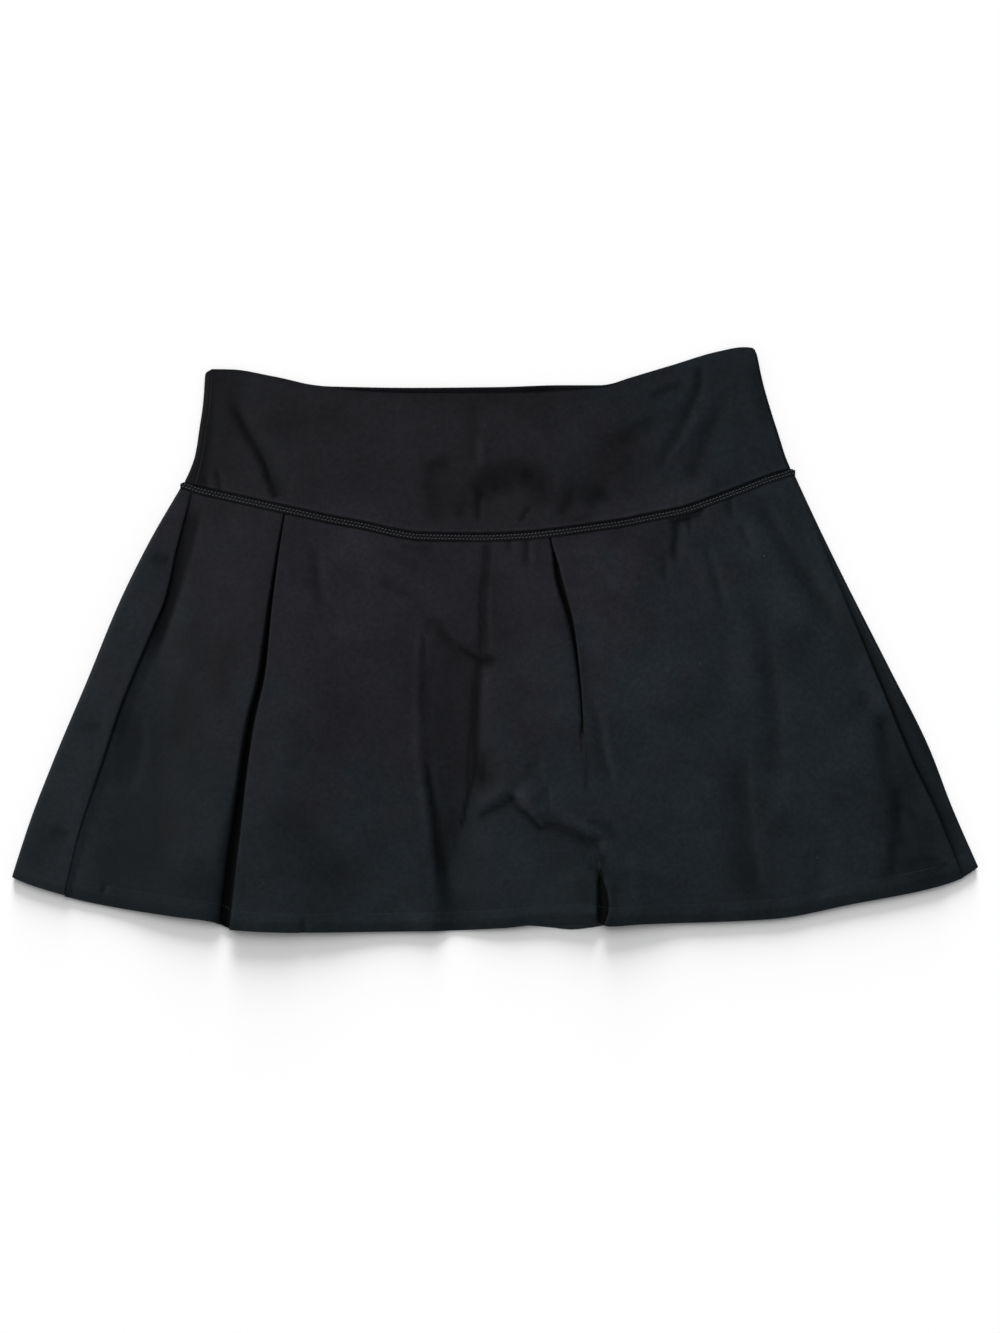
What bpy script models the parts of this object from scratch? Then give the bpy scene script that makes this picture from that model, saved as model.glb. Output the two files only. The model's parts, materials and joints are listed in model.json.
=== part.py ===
"""A pleated tennis skort, laid flat with its front up, waist towards +Y and hem towards -Y.

Every panel is a wall of cloth: a middle surface made of sections across the garment, thickened
by Solidify. The sections are worked out in the plan of the laid garment, from the tables below.
All sizes are in metres, in the laid state, with the table at z = 0.
"""

import bpy
import numpy as np

OBJECT_NAME = "tennis_skort"

# Cloth.
CLOTH = 0.0010            # one layer of the skirt and of the shorts
BAND_CLOTH = 0.0016       # the waistband is cut double
SEAM_GAP = 0.0005         # between the edges of two panels that are sewn together
LAYER_GAP = 0.0003        # between panels that lie on each other

# Heights of the middle of each layer above the table.
BACK_MID = CLOTH / 2
SHORTS_BACK_MID = CLOTH + LAYER_GAP + CLOTH / 2
SHORTS_FRONT_MID = SHORTS_BACK_MID + CLOTH + LAYER_GAP
FRONT_OVER_SHORTS = 0.0048
FRONT_OVER_BACK = 0.0026  # the skirt's front where only the back lies under it
SIDE_FOLD_MID = 0.0046    # the top of the fold where the back panel wraps to the front
BAND_SIDE_MID = 0.0040    # the same fold at the waist edge
BAND_FLAT_MID = 1.5 * BAND_CLOTH + LAYER_GAP
SIDE_SPREAD = 0.022       # how far from a side seam the skirt's front comes down
BAND_SIDE_SPREAD = 0.030  # how far from a side the waistband's front comes down

# Sections of the skirt: v runs down from the waist seam to the hem, x and y are the outline's.
SKIRT_SECTIONS = {
    "v":       (0.00, 0.15, 0.30, 0.50, 0.70, 0.85, 1.00),
    "left_x":  (-0.2050, -0.2274, -0.2468, -0.2683, -0.2903, -0.3056, -0.3184),
    "right_x": (0.1962, 0.2145, 0.2338, 0.2605, 0.2867, 0.3019, 0.3191),
    "left_inset":  (0.0065, 0.0180, 0.0268, 0.0258, 0.0295, 0.0318, 0.0350),
    "right_inset": (0.0036, 0.0036, 0.0048, 0.0085, 0.0118, 0.0088, 0.0100),
}

# Sections of the waistband: w runs down from the waist edge to the waist seam.
BAND_SECTIONS = {
    "w":       (0.00, 0.25, 0.50, 0.75, 1.00),
    "left_x":  (-0.1911, -0.1923, -0.1948, -0.1984, -0.2030),
    "right_x": (0.1732, 0.1772, 0.1826, 0.1886, 0.1940),
    "left_inset":  (0.0040, 0.0040, 0.0040, 0.0046, 0.0060),
    "right_inset": (0.0040, 0.0040, 0.0040, 0.0040, 0.0040),
}

# Curves across the garment, each a run of x and y.
WAIST_SEAM = {
    "x": (-0.2040, -0.1778, -0.1359, -0.1077, -0.0639, -0.0100, 0.0400, 0.0820, 0.1300, 0.1615,
          0.1950),
    "y": (0.1036, 0.0989, 0.0894, 0.0819, 0.0722, 0.0699, 0.0734, 0.0789, 0.0897, 0.1009, 0.1122),
}
FRONT_WAIST_EDGE = {
    "x": (-0.1911, -0.1895, -0.1865, -0.1732, -0.1470, -0.1086, -0.0560, 0.0036, 0.0432, 0.0690,
          0.0908, 0.1172, 0.1480, 0.1640, 0.1700, 0.1732),
    "y": (0.1740, 0.1768, 0.1781, 0.1779, 0.1736, 0.1660, 0.1629, 0.1627, 0.1643, 0.1665,
          0.1729, 0.1808, 0.1899, 0.1925, 0.1920, 0.1880),
}
BACK_WAIST_EDGE = {
    "x": (-0.1911, -0.1895, -0.1865, -0.1732, -0.1470, -0.1086, -0.0560, 0.0036, 0.0432, 0.0690,
          0.0908, 0.1172, 0.1480, 0.1640, 0.1700, 0.1732),
    "y": (0.1735, 0.1763, 0.1776, 0.1774, 0.1731, 0.1668, 0.1657, 0.1662, 0.1674, 0.1674,
          0.1724, 0.1803, 0.1894, 0.1920, 0.1915, 0.1875),
}
FRONT_HEM = {
    "x": (-0.3184, -0.3052, -0.2657, -0.2129, -0.1860, -0.1730, -0.1284, -0.0360, 0.0069, 0.0300,
          0.0545, 0.0677, 0.0760, 0.0960, 0.1436, 0.1832, 0.2360, 0.2888, 0.3085, 0.3191),
    "y": (-0.1558, -0.1617, -0.1729, -0.1815, -0.1852, -0.1902, -0.1921, -0.1914, -0.1894,
          -0.1868, -0.1855, -0.1861, -0.1880, -0.1868, -0.1855, -0.1835, -0.1736, -0.1630,
          -0.1565, -0.1492),
}
BACK_HEM = {
    "x": (-0.3184, -0.3052, -0.2657, -0.2129, -0.1860, -0.1284, -0.0360, 0.0200, 0.0377, 0.0508,
          0.0639, 0.0800, 0.0960, 0.1436, 0.1832, 0.2360, 0.2888, 0.3085, 0.3191),
    "y": (-0.1558, -0.1612, -0.1719, -0.1805, -0.1842, -0.1909, -0.1904, -0.1880, -0.1893,
          -0.1906, -0.1893, -0.1868, -0.1858, -0.1845, -0.1825, -0.1726, -0.1620, -0.1560,
          -0.1492),
}

# Knife pleats of the skirt's front. The cloth right of each fold lies on top: "edge" is the
# fold's x, "gap" the groove left of it, "tuck" the length turned under, "turn" the angle of
# the fold in degrees (180 is folded flat, a small angle is a soft step).
PLEATS = (
    {
        "v":    (0.00, 0.11, 0.24, 0.39, 0.52, 0.64, 0.75, 0.89, 1.00),
        "edge": (-0.1368, -0.1417, -0.1463, -0.1505, -0.1580, -0.1628, -0.1662, -0.1709, -0.1742),
        "gap":  (0.0006, 0.0010, 0.0018, 0.0030, 0.0036, 0.0040, 0.0048, 0.0054, 0.0062),
        "tuck": (0.0100, 0.0110, 0.0120, 0.0130, 0.0140, 0.0150, 0.0160, 0.0165, 0.0170),
        "turn": (180, 180, 180, 180, 180, 180, 180, 180, 180),
        "shoulder": (0.90, 0.80, 0.70, 0.62, 0.58, 0.56, 0.55, 0.55, 0.50),
    },
    {
        "v":    (0.00, 0.13, 0.28, 0.42, 0.53, 0.62, 0.76, 0.86, 0.93, 1.00),
        "edge": (0.0345, 0.0438, 0.0531, 0.0567, 0.0590, 0.0604, 0.0650, 0.0702, 0.0735, 0.0750),
        "gap":  (0.0006, 0.0020, 0.0014, 0.0008, 0.0006, 0.0006, 0.0006, 0.0010, 0.0046, 0.0056),
        "tuck": (0.0090, 0.0090, 0.0070, 0.0040, 0.0006, 0.0006, 0.0006, 0.0006, 0.0050, 0.0070),
        "turn": (180, 180, 180, 180, 110, 60, 45, 100, 180, 180),
        "shoulder": (0.90, 0.62, 0.65, 0.72, 0.20, 0.10, 0.10, 0.20, 0.60, 0.55),
    },
)
FOLD_RADIUS = 0.0009      # of a folded edge, at the middle of the cloth
SHOULDER_RADIUS = 0.0010  # where the cloth left of a pleat rolls down into its groove
SHOULDER_TURN = 75        # degrees
SHOULDER_RUN = 0.0003     # the straight run between its two arcs, at least
SHOULDER_CLEAR = 0.0016   # from its middle to where the fold starts to rise, at least
PLEAT_SPREAD = 0.018      # how far from a pleat its height fades out

# Long soft folds of the skirt's front: a ridge (height above 0) or a trough (below 0) that
# runs from (x0, v0) to (x1, v1) and fades at both ends, with its half width.
SOFT_FOLDS = (
    {"x0": -0.048, "v0": 0.36, "x1": -0.035, "v1": 1.05, "width": 0.010, "height": 0.0012},
    {"x0": -0.014, "v0": 0.45, "x1": -0.026, "v1": 1.05, "width": 0.012, "height": -0.0005},
    {"x0": -0.004, "v0": -0.05, "x1": -0.010, "v1": 0.34, "width": 0.008, "height": -0.0004},
    {"x0": 0.026, "v0": 0.62, "x1": 0.045, "v1": 0.85, "width": 0.020, "height": 0.0010},
    {"x0": 0.118, "v0": -0.05, "x1": 0.112, "v1": 0.22, "width": 0.008, "height": -0.0004},
    {"x0": 0.168, "v0": 0.20, "x1": 0.182, "v1": 1.05, "width": 0.016, "height": 0.0011},
    {"x0": 0.205, "v0": 0.40, "x1": 0.232, "v1": 1.05, "width": 0.016, "height": -0.0004},
    {"x0": -0.215, "v0": 0.25, "x1": -0.236, "v1": 0.85, "width": 0.016, "height": -0.0004},
    {"x0": -0.112, "v0": 0.02, "x1": -0.116, "v1": 0.40, "width": 0.010, "height": -0.0003},
    {"x0": -0.100, "v0": 0.55, "x1": -0.112, "v1": 1.05, "width": 0.024, "height": 0.0010},
)
FOLD_FADE = 0.25          # the share of a soft fold's run that fades, at each end

# Where the skirt's front rises over the inner shorts: to x = left and right, down to the leg
# hems at v = hem, each over its soft run, and with a dip between the legs below the crotch.
SHORTS_RELIEF = {
    "left": -0.222, "right": 0.214, "soft": 0.024,
    "seam": 0.30, "hem": 0.95, "hem_soft": 0.14,
    "crotch": 0.58, "crotch_soft": 0.24, "dip": 0.9, "dip_width": 0.0085,
}

# The strip over the waist seam, where the seam's turnings are stitched down.
STRIP_HEIGHT = 0.0052
STRIP_TAB = 0.0018        # how far its ends stand out past the sides
STRIP_CLOTH = 0.0010
SKIRT_LENGTH = 0.260      # from the waist seam to the hem, down the middle

# The inner shorts, from the waist seam down to the leg hems. "side" is x of a leg's outer edge
# and "inside" how far its inner edge stands off the centre seam, below the crotch.
CENTRE_SEAM = {
    "v": (0.00, 0.65, 1.00),
    "x": (-0.0050, -0.0090, -0.0120),
}
LEGS = {
    "left": {
        "v":      (0.00, 0.35, 0.65, 0.82, 1.00),
        "side":   (-0.1950, -0.1960, -0.1930, -0.1900, -0.1850),
        "inside": (0.0000, 0.0000, 0.0000, 0.0190, 0.0320),
        "way":    -1,
    },
    "right": {
        "v":      (0.00, 0.35, 0.65, 0.82, 1.00),
        "side":   (0.1860, 0.1870, 0.1860, 0.1850, 0.1820),
        "inside": (0.0000, 0.0000, 0.0000, 0.0120, 0.0220),
        "way":    1,
    },
}
LEG_HEM_Y = -0.128        # the leg hems, a straight line across
LEG_HEM_BOW = 0.004       # they dip this much in the middle of each leg

# How many sections each piece has, and how many points across the plain ones.
SKIRT_ROWS = 21
BAND_ROWS = 8
BAND_COLUMNS = 44
STRIP_COLUMNS = 84
SHORTS_ROWS = 9
SHORTS_COLUMNS = 9
FRONT_COLUMNS = (9, 19, 24)   # left of, between and right of the two pleats
END_CROWDING = 0.10           # how much closer its points stand near the pleats
BACK_COLUMNS = {"across": 14, "strip": 4, "turn": 7}
BAND_BACK_COLUMNS = {"across": 14, "strip": 2, "turn": 7}

BLACK_JERSEY = (0.012, 0.0125, 0.014, 1.0)
BLACK_BAND = (0.011, 0.0115, 0.013, 1.0)
BLACK_STRIP = (0.016, 0.0165, 0.018, 1.0)
BLACK_SHORTS = (0.009, 0.0095, 0.011, 1.0)


def through(table, along, across, at):
    """A smooth curve through a table's points: cubic pieces that share their slopes."""
    x = np.asarray(table[along], float)
    y = np.asarray(table[across], float)
    steps = np.diff(y) / np.diff(x)
    before, after = np.diff(x)[:-1], np.diff(x)[1:]
    same_way = steps[:-1] * steps[1:] > 0
    weight_a, weight_b = 2 * after + before, after + 2 * before
    safe = np.where(same_way, steps[:-1] * steps[1:], 1.0)
    inner = (weight_a + weight_b) * safe / np.where(
        same_way, weight_a * steps[1:] + weight_b * steps[:-1], 1.0)
    slopes = np.concatenate(([steps[0]], np.where(same_way, inner, 0.0), [steps[-1]]))
    at = np.clip(np.asarray(at, float), x[0], x[-1])
    i = np.clip(np.searchsorted(x, at) - 1, 0, len(x) - 2)
    span = x[i + 1] - x[i]
    t = (at - x[i]) / span
    return ((1 + 2 * t) * (1 - t) ** 2 * y[i] + t * (1 - t) ** 2 * span * slopes[i]
            + t * t * (3 - 2 * t) * y[i + 1] + t * t * (t - 1) * span * slopes[i + 1])


def ease(t):
    """0 below 0, 1 above 1, and a smooth step between."""
    t = np.clip(t, 0.0, 1.0)
    return t * t * (3 - 2 * t)


def skirt_sides(v):
    """x of the skirt's left and right outline at v."""
    return (through(SKIRT_SECTIONS, "v", "left_x", v), through(SKIRT_SECTIONS, "v", "right_x", v))


def band_sides(w):
    """x of the waistband's left and right outline at w."""
    return through(BAND_SECTIONS, "w", "left_x", w), through(BAND_SECTIONS, "w", "right_x", w)


def across_curve(table, share):
    """y of a curve across the garment at a share of its width, 0 at the left and 1 at the right."""
    first, last = table["x"][0], table["x"][-1]
    return through(table, "x", "y", first + share * (last - first))


def skirt_y(x, v, hem):
    """y of a point of the skirt at x in the section v: between the waist seam and the hem."""
    left, right = skirt_sides(v)
    share = (x - left) / (right - left)
    top = across_curve(WAIST_SEAM, share) - SEAM_GAP / 2
    return top + (across_curve(hem, share) - top) * v


def band_y(x, w, edge):
    """y of a point of the waistband at x in the section w."""
    left, right = band_sides(w)
    share = (x - left) / (right - left)
    seam = across_curve(WAIST_SEAM, share) + SEAM_GAP / 2
    return across_curve(edge, share) + (seam - across_curve(edge, share)) * w


def over_shorts(x, v):
    """1 where the inner shorts lie under the skirt's front, 0 clear of them."""
    relief = SHORTS_RELIEF
    left = ease((x - relief["left"]) / relief["soft"])
    right = ease((relief["right"] - x) / relief["soft"])
    near_seam = ease((relief["seam"] - v) / relief["seam"])
    above_hems = ease((relief["hem"] - v) / relief["hem_soft"])
    below_crotch = ease((v - relief["crotch"]) / relief["crotch_soft"])
    from_centre = (x - through(CENTRE_SEAM, "v", "x", v / relief["hem"])) / relief["dip_width"]
    between_legs = relief["dip"] * below_crotch * np.exp(-from_centre ** 2)
    return np.maximum(left * right, near_seam) * above_hems * (1 - between_legs)


def front_height(x, v):
    """Height of the middle of the skirt's front at x in the section v, without its pleats."""
    height = FRONT_OVER_BACK + (FRONT_OVER_SHORTS - FRONT_OVER_BACK) * over_shorts(x, v)
    for fold in SOFT_FOLDS:
        share = (v - fold["v0"]) / (fold["v1"] - fold["v0"])
        middle = fold["x0"] + (fold["x1"] - fold["x0"]) * share
        fade = ease(share / FOLD_FADE) * ease((1 - share) / FOLD_FADE)
        height = height + fold["height"] * fade * np.exp(-((x - middle) / fold["width"]) ** 2)
    left, right = skirt_sides(v)
    seam_left = left + through(SKIRT_SECTIONS, "v", "left_inset", v)
    seam_right = right - through(SKIRT_SECTIONS, "v", "right_inset", v)
    near_side = 1 - ease(np.minimum(x - seam_left, seam_right - x) / SIDE_SPREAD)
    return height + (SIDE_FOLD_MID - height) * near_side


def bend(radius, turn, straight, start, downward=False):
    """An S-bend in a section: an arc through `turn` degrees, a straight run, and an arc back."""
    angle = np.radians(turn)
    x0, z0 = start
    way = -1.0 if downward else 1.0
    points = []
    for share in (0.0, 0.25, 0.5, 0.75, 1.0):
        a = angle * share
        points.append((x0 + radius * np.sin(a), z0 + way * radius * (1 - np.cos(a))))
    x1, z1 = points[-1]
    x2 = x1 + straight * np.cos(angle)
    z2 = z1 + way * straight * np.sin(angle)
    for share in (1 / 3, 2 / 3):
        points.append((x1 + (x2 - x1) * share, z1 + (z2 - z1) * share))
    for share in (1.0, 0.75, 0.5, 0.25, 0.0):
        a = angle * share
        points.append((x2 + radius * (np.sin(angle) - np.sin(a)),
                       z2 + way * radius * (np.cos(a) - np.cos(angle))))
    return points


def pleat_at(pleat, v):
    """A pleat's sizes in the section v, worked out from its table."""
    size = {name: through(pleat, "v", name, v) for name in ("edge", "gap", "tuck", "turn",
                                                             "shoulder")}
    angle = np.radians(size["turn"])
    size["base"] = front_height(size["edge"], v)
    size["rise"] = 2 * FOLD_RADIUS * (1 - np.cos(angle)) + size["tuck"] * np.sin(angle)
    size["end"] = size["edge"] + FOLD_RADIUS * np.sin(angle / 2)
    size["start"] = size["end"] - 2 * FOLD_RADIUS * np.sin(angle) - size["tuck"] * np.cos(angle)
    size["drop"] = size["rise"] * size["shoulder"]
    return size


def shoulder_points(size):
    """The S-bend by which the cloth left of a pleat rolls down into its groove.

    A small drop takes a larger radius and a smaller turn, so that it stays a soft step.
    """
    full_turn = np.radians(SHOULDER_TURN)
    full_drop = 2 * SHOULDER_RADIUS * (1 - np.cos(full_turn))
    radius = SHOULDER_RADIUS * (4 - 3 * ease(size["drop"] / full_drop))
    turn = SHOULDER_TURN
    straight = SHOULDER_RUN
    if size["drop"] < full_drop:
        turn = np.degrees(np.arccos(1 - size["drop"] / (2 * radius)))
    else:
        straight += (size["drop"] - full_drop) / np.sin(full_turn)
    angle = np.radians(turn)
    width = 2 * radius * np.sin(angle) + straight * np.cos(angle)
    middle = min(size["edge"] - size["gap"] - CLOTH, size["start"] - SHOULDER_CLEAR)
    return bend(radius, turn, straight, (middle - width / 2, size["base"] + size["drop"]),
                downward=True)


def front_top(x, v, pleats):
    """Height of the uppermost layer of the skirt's front at x, its pleats included."""
    height = front_height(x, v)
    for size in pleats:
        past = (x - size["start"] - FOLD_RADIUS - CLOTH) / PLEAT_SPREAD
        before = (size["edge"] - size["gap"] - 2 * CLOTH - x) / PLEAT_SPREAD
        right_of = size["rise"] * (1 - ease(past))
        left_of = size["drop"] * (1 - ease(before))
        height = height + np.where(x >= size["edge"] - CLOTH, right_of, left_of)
    return height


def spread(first, last, count):
    """`count` places between two ends, closer together near the ends."""
    t = (np.arange(count) + 1) / (count + 1)
    t = t - END_CROWDING * np.sin(2 * np.pi * t)
    return first + (last - first) * t


def front_section(v):
    """x and z of the middle of the cloth in one section of the skirt's front, left to right."""
    left, right = skirt_sides(v)
    first = left + through(SKIRT_SECTIONS, "v", "left_inset", v) + SEAM_GAP / 2
    last = right - through(SKIRT_SECTIONS, "v", "right_inset", v) - SEAM_GAP / 2
    pleats = [pleat_at(pleat, v) for pleat in PLEATS]
    points = [(first, front_top(first, v, pleats))]
    start = first
    for size, count in zip(pleats, FRONT_COLUMNS):
        shoulder = shoulder_points(size)
        for x in spread(start, shoulder[0][0], count):
            points.append((x, front_top(x, v, pleats)))
        points.extend(shoulder)
        foot_x, foot_z = shoulder[-1]
        points.append(((foot_x + size["start"]) / 2, (foot_z + size["base"]) / 2))
        points.extend(bend(FOLD_RADIUS, size["turn"], size["tuck"],
                           (size["start"], size["base"])))
        start = points[-1][0]
    for x in spread(start, last, FRONT_COLUMNS[-1]):
        points.append((x, front_top(x, v, pleats)))
    points.append((last, front_top(last, v, pleats)))
    return points


def wrapped_section(left, right, low, high_left, high_right, columns):
    """x and z of a back panel's section: over the left side fold, under, and up the right one.

    `left` and `right` are the pairs (outline, seam); the wall is twice `low` thick.
    """
    radius_left = (high_left - low) / 2
    radius_right = (high_right - low) / 2
    left_fold = left[0] + low + radius_left
    right_fold = right[0] - low - radius_right
    points = []
    for x in np.linspace(left[1], left_fold, columns["strip"] + 1)[:-1]:
        points.append((x, high_left))
    for a in np.radians(np.linspace(90, 270, columns["turn"])):
        points.append((left_fold + radius_left * np.cos(a), low + radius_left * (1 + np.sin(a))))
    for x in np.linspace(left_fold, right_fold, columns["across"] + 2)[1:-1]:
        points.append((x, low))
    for a in np.radians(np.linspace(-90, 90, columns["turn"])):
        points.append((right_fold + radius_right * np.cos(a),
                       low + radius_right * (1 + np.sin(a))))
    for x in np.linspace(right_fold, right[1], columns["strip"] + 1)[1:]:
        points.append((x, high_right))
    return points


def sheet(name, rows, thickness, colour, roughness, collection):
    """A wall of cloth: a grid of points, one row for each section, thickened by Solidify."""
    grid = np.array(rows, float)
    count_v, count_u = grid.shape[:2]
    index = np.arange(count_v * count_u).reshape(count_v, count_u)
    corners = (index[:-1, :-1], index[1:, :-1], index[1:, 1:], index[:-1, 1:])
    faces = np.stack([corner.ravel() for corner in corners], axis=1)
    mesh = bpy.data.meshes.new(name)
    mesh.from_pydata(grid.reshape(-1, 3).tolist(), [], faces.tolist())
    mesh.shade_smooth()
    piece = bpy.data.objects.new(name, mesh)
    collection.objects.link(piece)
    wall = piece.modifiers.new("cloth", "SOLIDIFY")
    wall.thickness = thickness
    wall.offset = 0.0
    wall.use_even_offset = False
    wall.use_quality_normals = True
    material = bpy.data.materials.new(name + "_cloth")
    material.use_nodes = True
    shader = material.node_tree.nodes["Principled BSDF"]
    shader.inputs["Base Color"].default_value = colour
    shader.inputs["Roughness"].default_value = roughness
    shader.inputs["Metallic"].default_value = 0.0
    mesh.materials.append(material)
    return piece


def skirt_front(collection):
    """The skirt's front: one panel, with both pleats in its sections."""
    rows = []
    for v in np.linspace(0.0, 1.0, SKIRT_ROWS):
        rows.append([(x, skirt_y(x, v, FRONT_HEM), z) for x, z in front_section(v)])
    return sheet("skirt_front", rows, CLOTH, BLACK_JERSEY, 0.85, collection)


def skirt_back(collection):
    """The skirt's back: flat on the table, wrapped round both sides to the side seams."""
    rows = []
    for v in np.linspace(0.0, 1.0, SKIRT_ROWS):
        left, right = skirt_sides(v)
        left_seam = left + through(SKIRT_SECTIONS, "v", "left_inset", v) - SEAM_GAP / 2
        right_seam = right - through(SKIRT_SECTIONS, "v", "right_inset", v) + SEAM_GAP / 2
        section = wrapped_section((left, left_seam), (right, right_seam), BACK_MID,
                                  SIDE_FOLD_MID, SIDE_FOLD_MID, BACK_COLUMNS)
        rows.append([(x, skirt_y(x, v, BACK_HEM), z) for x, z in section])
    return sheet("skirt_back", rows, CLOTH, BLACK_JERSEY, 0.85, collection)


def band_height(x, w, pleats):
    """Height of the middle of the waistband's front: flat at the waist, at the skirt's below."""
    left, right = band_sides(w)
    near_side = 1 - ease(np.minimum(x - left, right - x) / BAND_SIDE_SPREAD)
    top = BAND_FLAT_MID + (BAND_SIDE_MID - BAND_FLAT_MID) * near_side
    skirt_left, skirt_right = skirt_sides(0.0)
    share = (x - left) / (right - left)
    bottom = front_top(skirt_left + share * (skirt_right - skirt_left), 0.0, pleats)
    return top + (bottom - top) * ease(w) ** 1.5


def waistband_front(collection):
    """The front of the wide waistband, cut double."""
    pleats = [pleat_at(pleat, 0.0) for pleat in PLEATS]
    rows = []
    for w in np.linspace(0.0, 1.0, BAND_ROWS):
        left, right = band_sides(w)
        first = left + through(BAND_SECTIONS, "w", "left_inset", w) + SEAM_GAP / 2
        last = right - through(BAND_SECTIONS, "w", "right_inset", w) - SEAM_GAP / 2
        xs = np.linspace(first, last, BAND_COLUMNS)
        rows.append([(x, band_y(x, w, FRONT_WAIST_EDGE), band_height(x, w, pleats))
                     for x in xs])
    return sheet("waistband_front", rows, BAND_CLOTH, BLACK_BAND, 0.8, collection)


def waistband_back(collection):
    """The back of the waistband: flat on the table, wrapped round both sides."""
    pleats = [pleat_at(pleat, 0.0) for pleat in PLEATS]
    rows = []
    for w in np.linspace(0.0, 1.0, BAND_ROWS):
        left, right = band_sides(w)
        left_seam = left + through(BAND_SECTIONS, "w", "left_inset", w) - SEAM_GAP / 2
        right_seam = right - through(BAND_SECTIONS, "w", "right_inset", w) + SEAM_GAP / 2
        section = wrapped_section((left, left_seam), (right, right_seam), BAND_CLOTH / 2,
                                  band_height(left_seam, w, pleats),
                                  band_height(right_seam, w, pleats), BAND_BACK_COLUMNS)
        rows.append([(x, band_y(x, w, BACK_WAIST_EDGE), z) for x, z in section])
    return sheet("waistband_back", rows, BAND_CLOTH, BLACK_BAND, 0.8, collection)


def waist_seam_strip(collection):
    """The stitched strip below the waist seam, lying on the top edge of the skirt's front."""
    left, right = skirt_sides(0.0)
    across = np.linspace(left - STRIP_TAB, right + STRIP_TAB, STRIP_COLUMNS)
    inside = np.clip(across, left + SIDE_FOLD_MID, right - SIDE_FOLD_MID)
    level = np.max([front_top(inside, v, [pleat_at(pleat, v) for pleat in PLEATS])
                    for v in (0.0, STRIP_HEIGHT / SKIRT_LENGTH)], axis=0)
    beside = np.pad(level, 1, mode="edge")
    level = np.maximum(level, np.maximum(beside[:-2], beside[2:]))
    height = level + CLOTH / 2 + LAYER_GAP + STRIP_CLOTH / 2
    seam = across_curve(WAIST_SEAM, (across - left) / (right - left)) - SEAM_GAP
    rows = []
    for share in (0.0, 0.5, 1.0):
        rows.append(np.stack([across, seam - STRIP_HEIGHT * share, height], axis=1))
    return sheet("waist_seam_strip", rows, STRIP_CLOTH, BLACK_STRIP, 0.75, collection)


def shorts_panel(name, leg, mid, collection):
    """One flat panel of the inner shorts, hanging from the waist seam inside the skirt."""
    rows = []
    across = np.linspace(0.0, 1.0, SHORTS_COLUMNS)
    for v in np.linspace(0.0, 1.0, SHORTS_ROWS):
        side = through(leg, "v", "side", v)
        off_centre = SEAM_GAP / 2 + through(leg, "v", "inside", v)
        inner = through(CENTRE_SEAM, "v", "x", v) + leg["way"] * off_centre
        xs = side + (inner - side) * across
        bow = LEG_HEM_BOW * np.sin(np.pi * across)
        top = skirt_y(xs, 0.0, BACK_HEM) - LAYER_GAP
        y = top + (LEG_HEM_Y - bow - top) * v
        rows.append(np.stack([xs, y, np.full_like(xs, mid)], axis=1))
    return sheet(name, rows, CLOTH, BLACK_SHORTS, 0.7, collection)


def build():
    for thing in list(bpy.data.objects):
        bpy.data.objects.remove(thing)
    collection = bpy.data.collections.new(OBJECT_NAME)
    bpy.context.scene.collection.children.link(collection)
    waistband_front(collection)
    waistband_back(collection)
    waist_seam_strip(collection)
    skirt_front(collection)
    skirt_back(collection)
    for side, leg in LEGS.items():
        shorts_panel("shorts_front_" + side, leg, SHORTS_FRONT_MID, collection)
        shorts_panel("shorts_back_" + side, leg, SHORTS_BACK_MID, collection)


build()
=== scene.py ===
import json

import bpy
import numpy as np
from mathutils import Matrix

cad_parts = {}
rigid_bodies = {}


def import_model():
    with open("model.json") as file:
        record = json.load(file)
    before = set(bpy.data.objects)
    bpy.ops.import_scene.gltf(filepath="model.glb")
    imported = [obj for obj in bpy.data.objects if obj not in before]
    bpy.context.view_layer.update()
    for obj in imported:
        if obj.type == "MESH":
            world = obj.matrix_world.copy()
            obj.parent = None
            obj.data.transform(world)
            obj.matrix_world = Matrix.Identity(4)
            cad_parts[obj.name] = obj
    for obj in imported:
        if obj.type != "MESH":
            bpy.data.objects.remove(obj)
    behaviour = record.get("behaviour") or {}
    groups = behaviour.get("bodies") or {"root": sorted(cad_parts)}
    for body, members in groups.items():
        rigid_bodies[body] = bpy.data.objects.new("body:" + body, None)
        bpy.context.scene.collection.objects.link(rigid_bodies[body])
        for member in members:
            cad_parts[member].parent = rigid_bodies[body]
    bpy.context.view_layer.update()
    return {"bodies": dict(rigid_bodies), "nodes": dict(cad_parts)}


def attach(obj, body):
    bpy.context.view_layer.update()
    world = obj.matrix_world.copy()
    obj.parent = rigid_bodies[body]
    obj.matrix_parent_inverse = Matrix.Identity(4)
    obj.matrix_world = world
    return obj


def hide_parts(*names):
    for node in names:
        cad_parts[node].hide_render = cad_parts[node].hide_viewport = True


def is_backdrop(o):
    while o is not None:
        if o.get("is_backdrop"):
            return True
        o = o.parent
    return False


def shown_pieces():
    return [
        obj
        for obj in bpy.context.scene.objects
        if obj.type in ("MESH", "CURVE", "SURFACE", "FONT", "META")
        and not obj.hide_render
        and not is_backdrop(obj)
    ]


# A pleated tennis skort, laid flat with its front up: waist towards +Y, hem towards -Y, metres.
# Each panel is a thin shell of cloth on its CAD solid's form, with its creases worked into it.
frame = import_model()
kept = list(frame["nodes"].values()) + list(frame["bodies"].values())
for thing in list(bpy.data.objects):
    if thing not in kept:
        bpy.data.objects.remove(thing)
mm = 0.001

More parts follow.
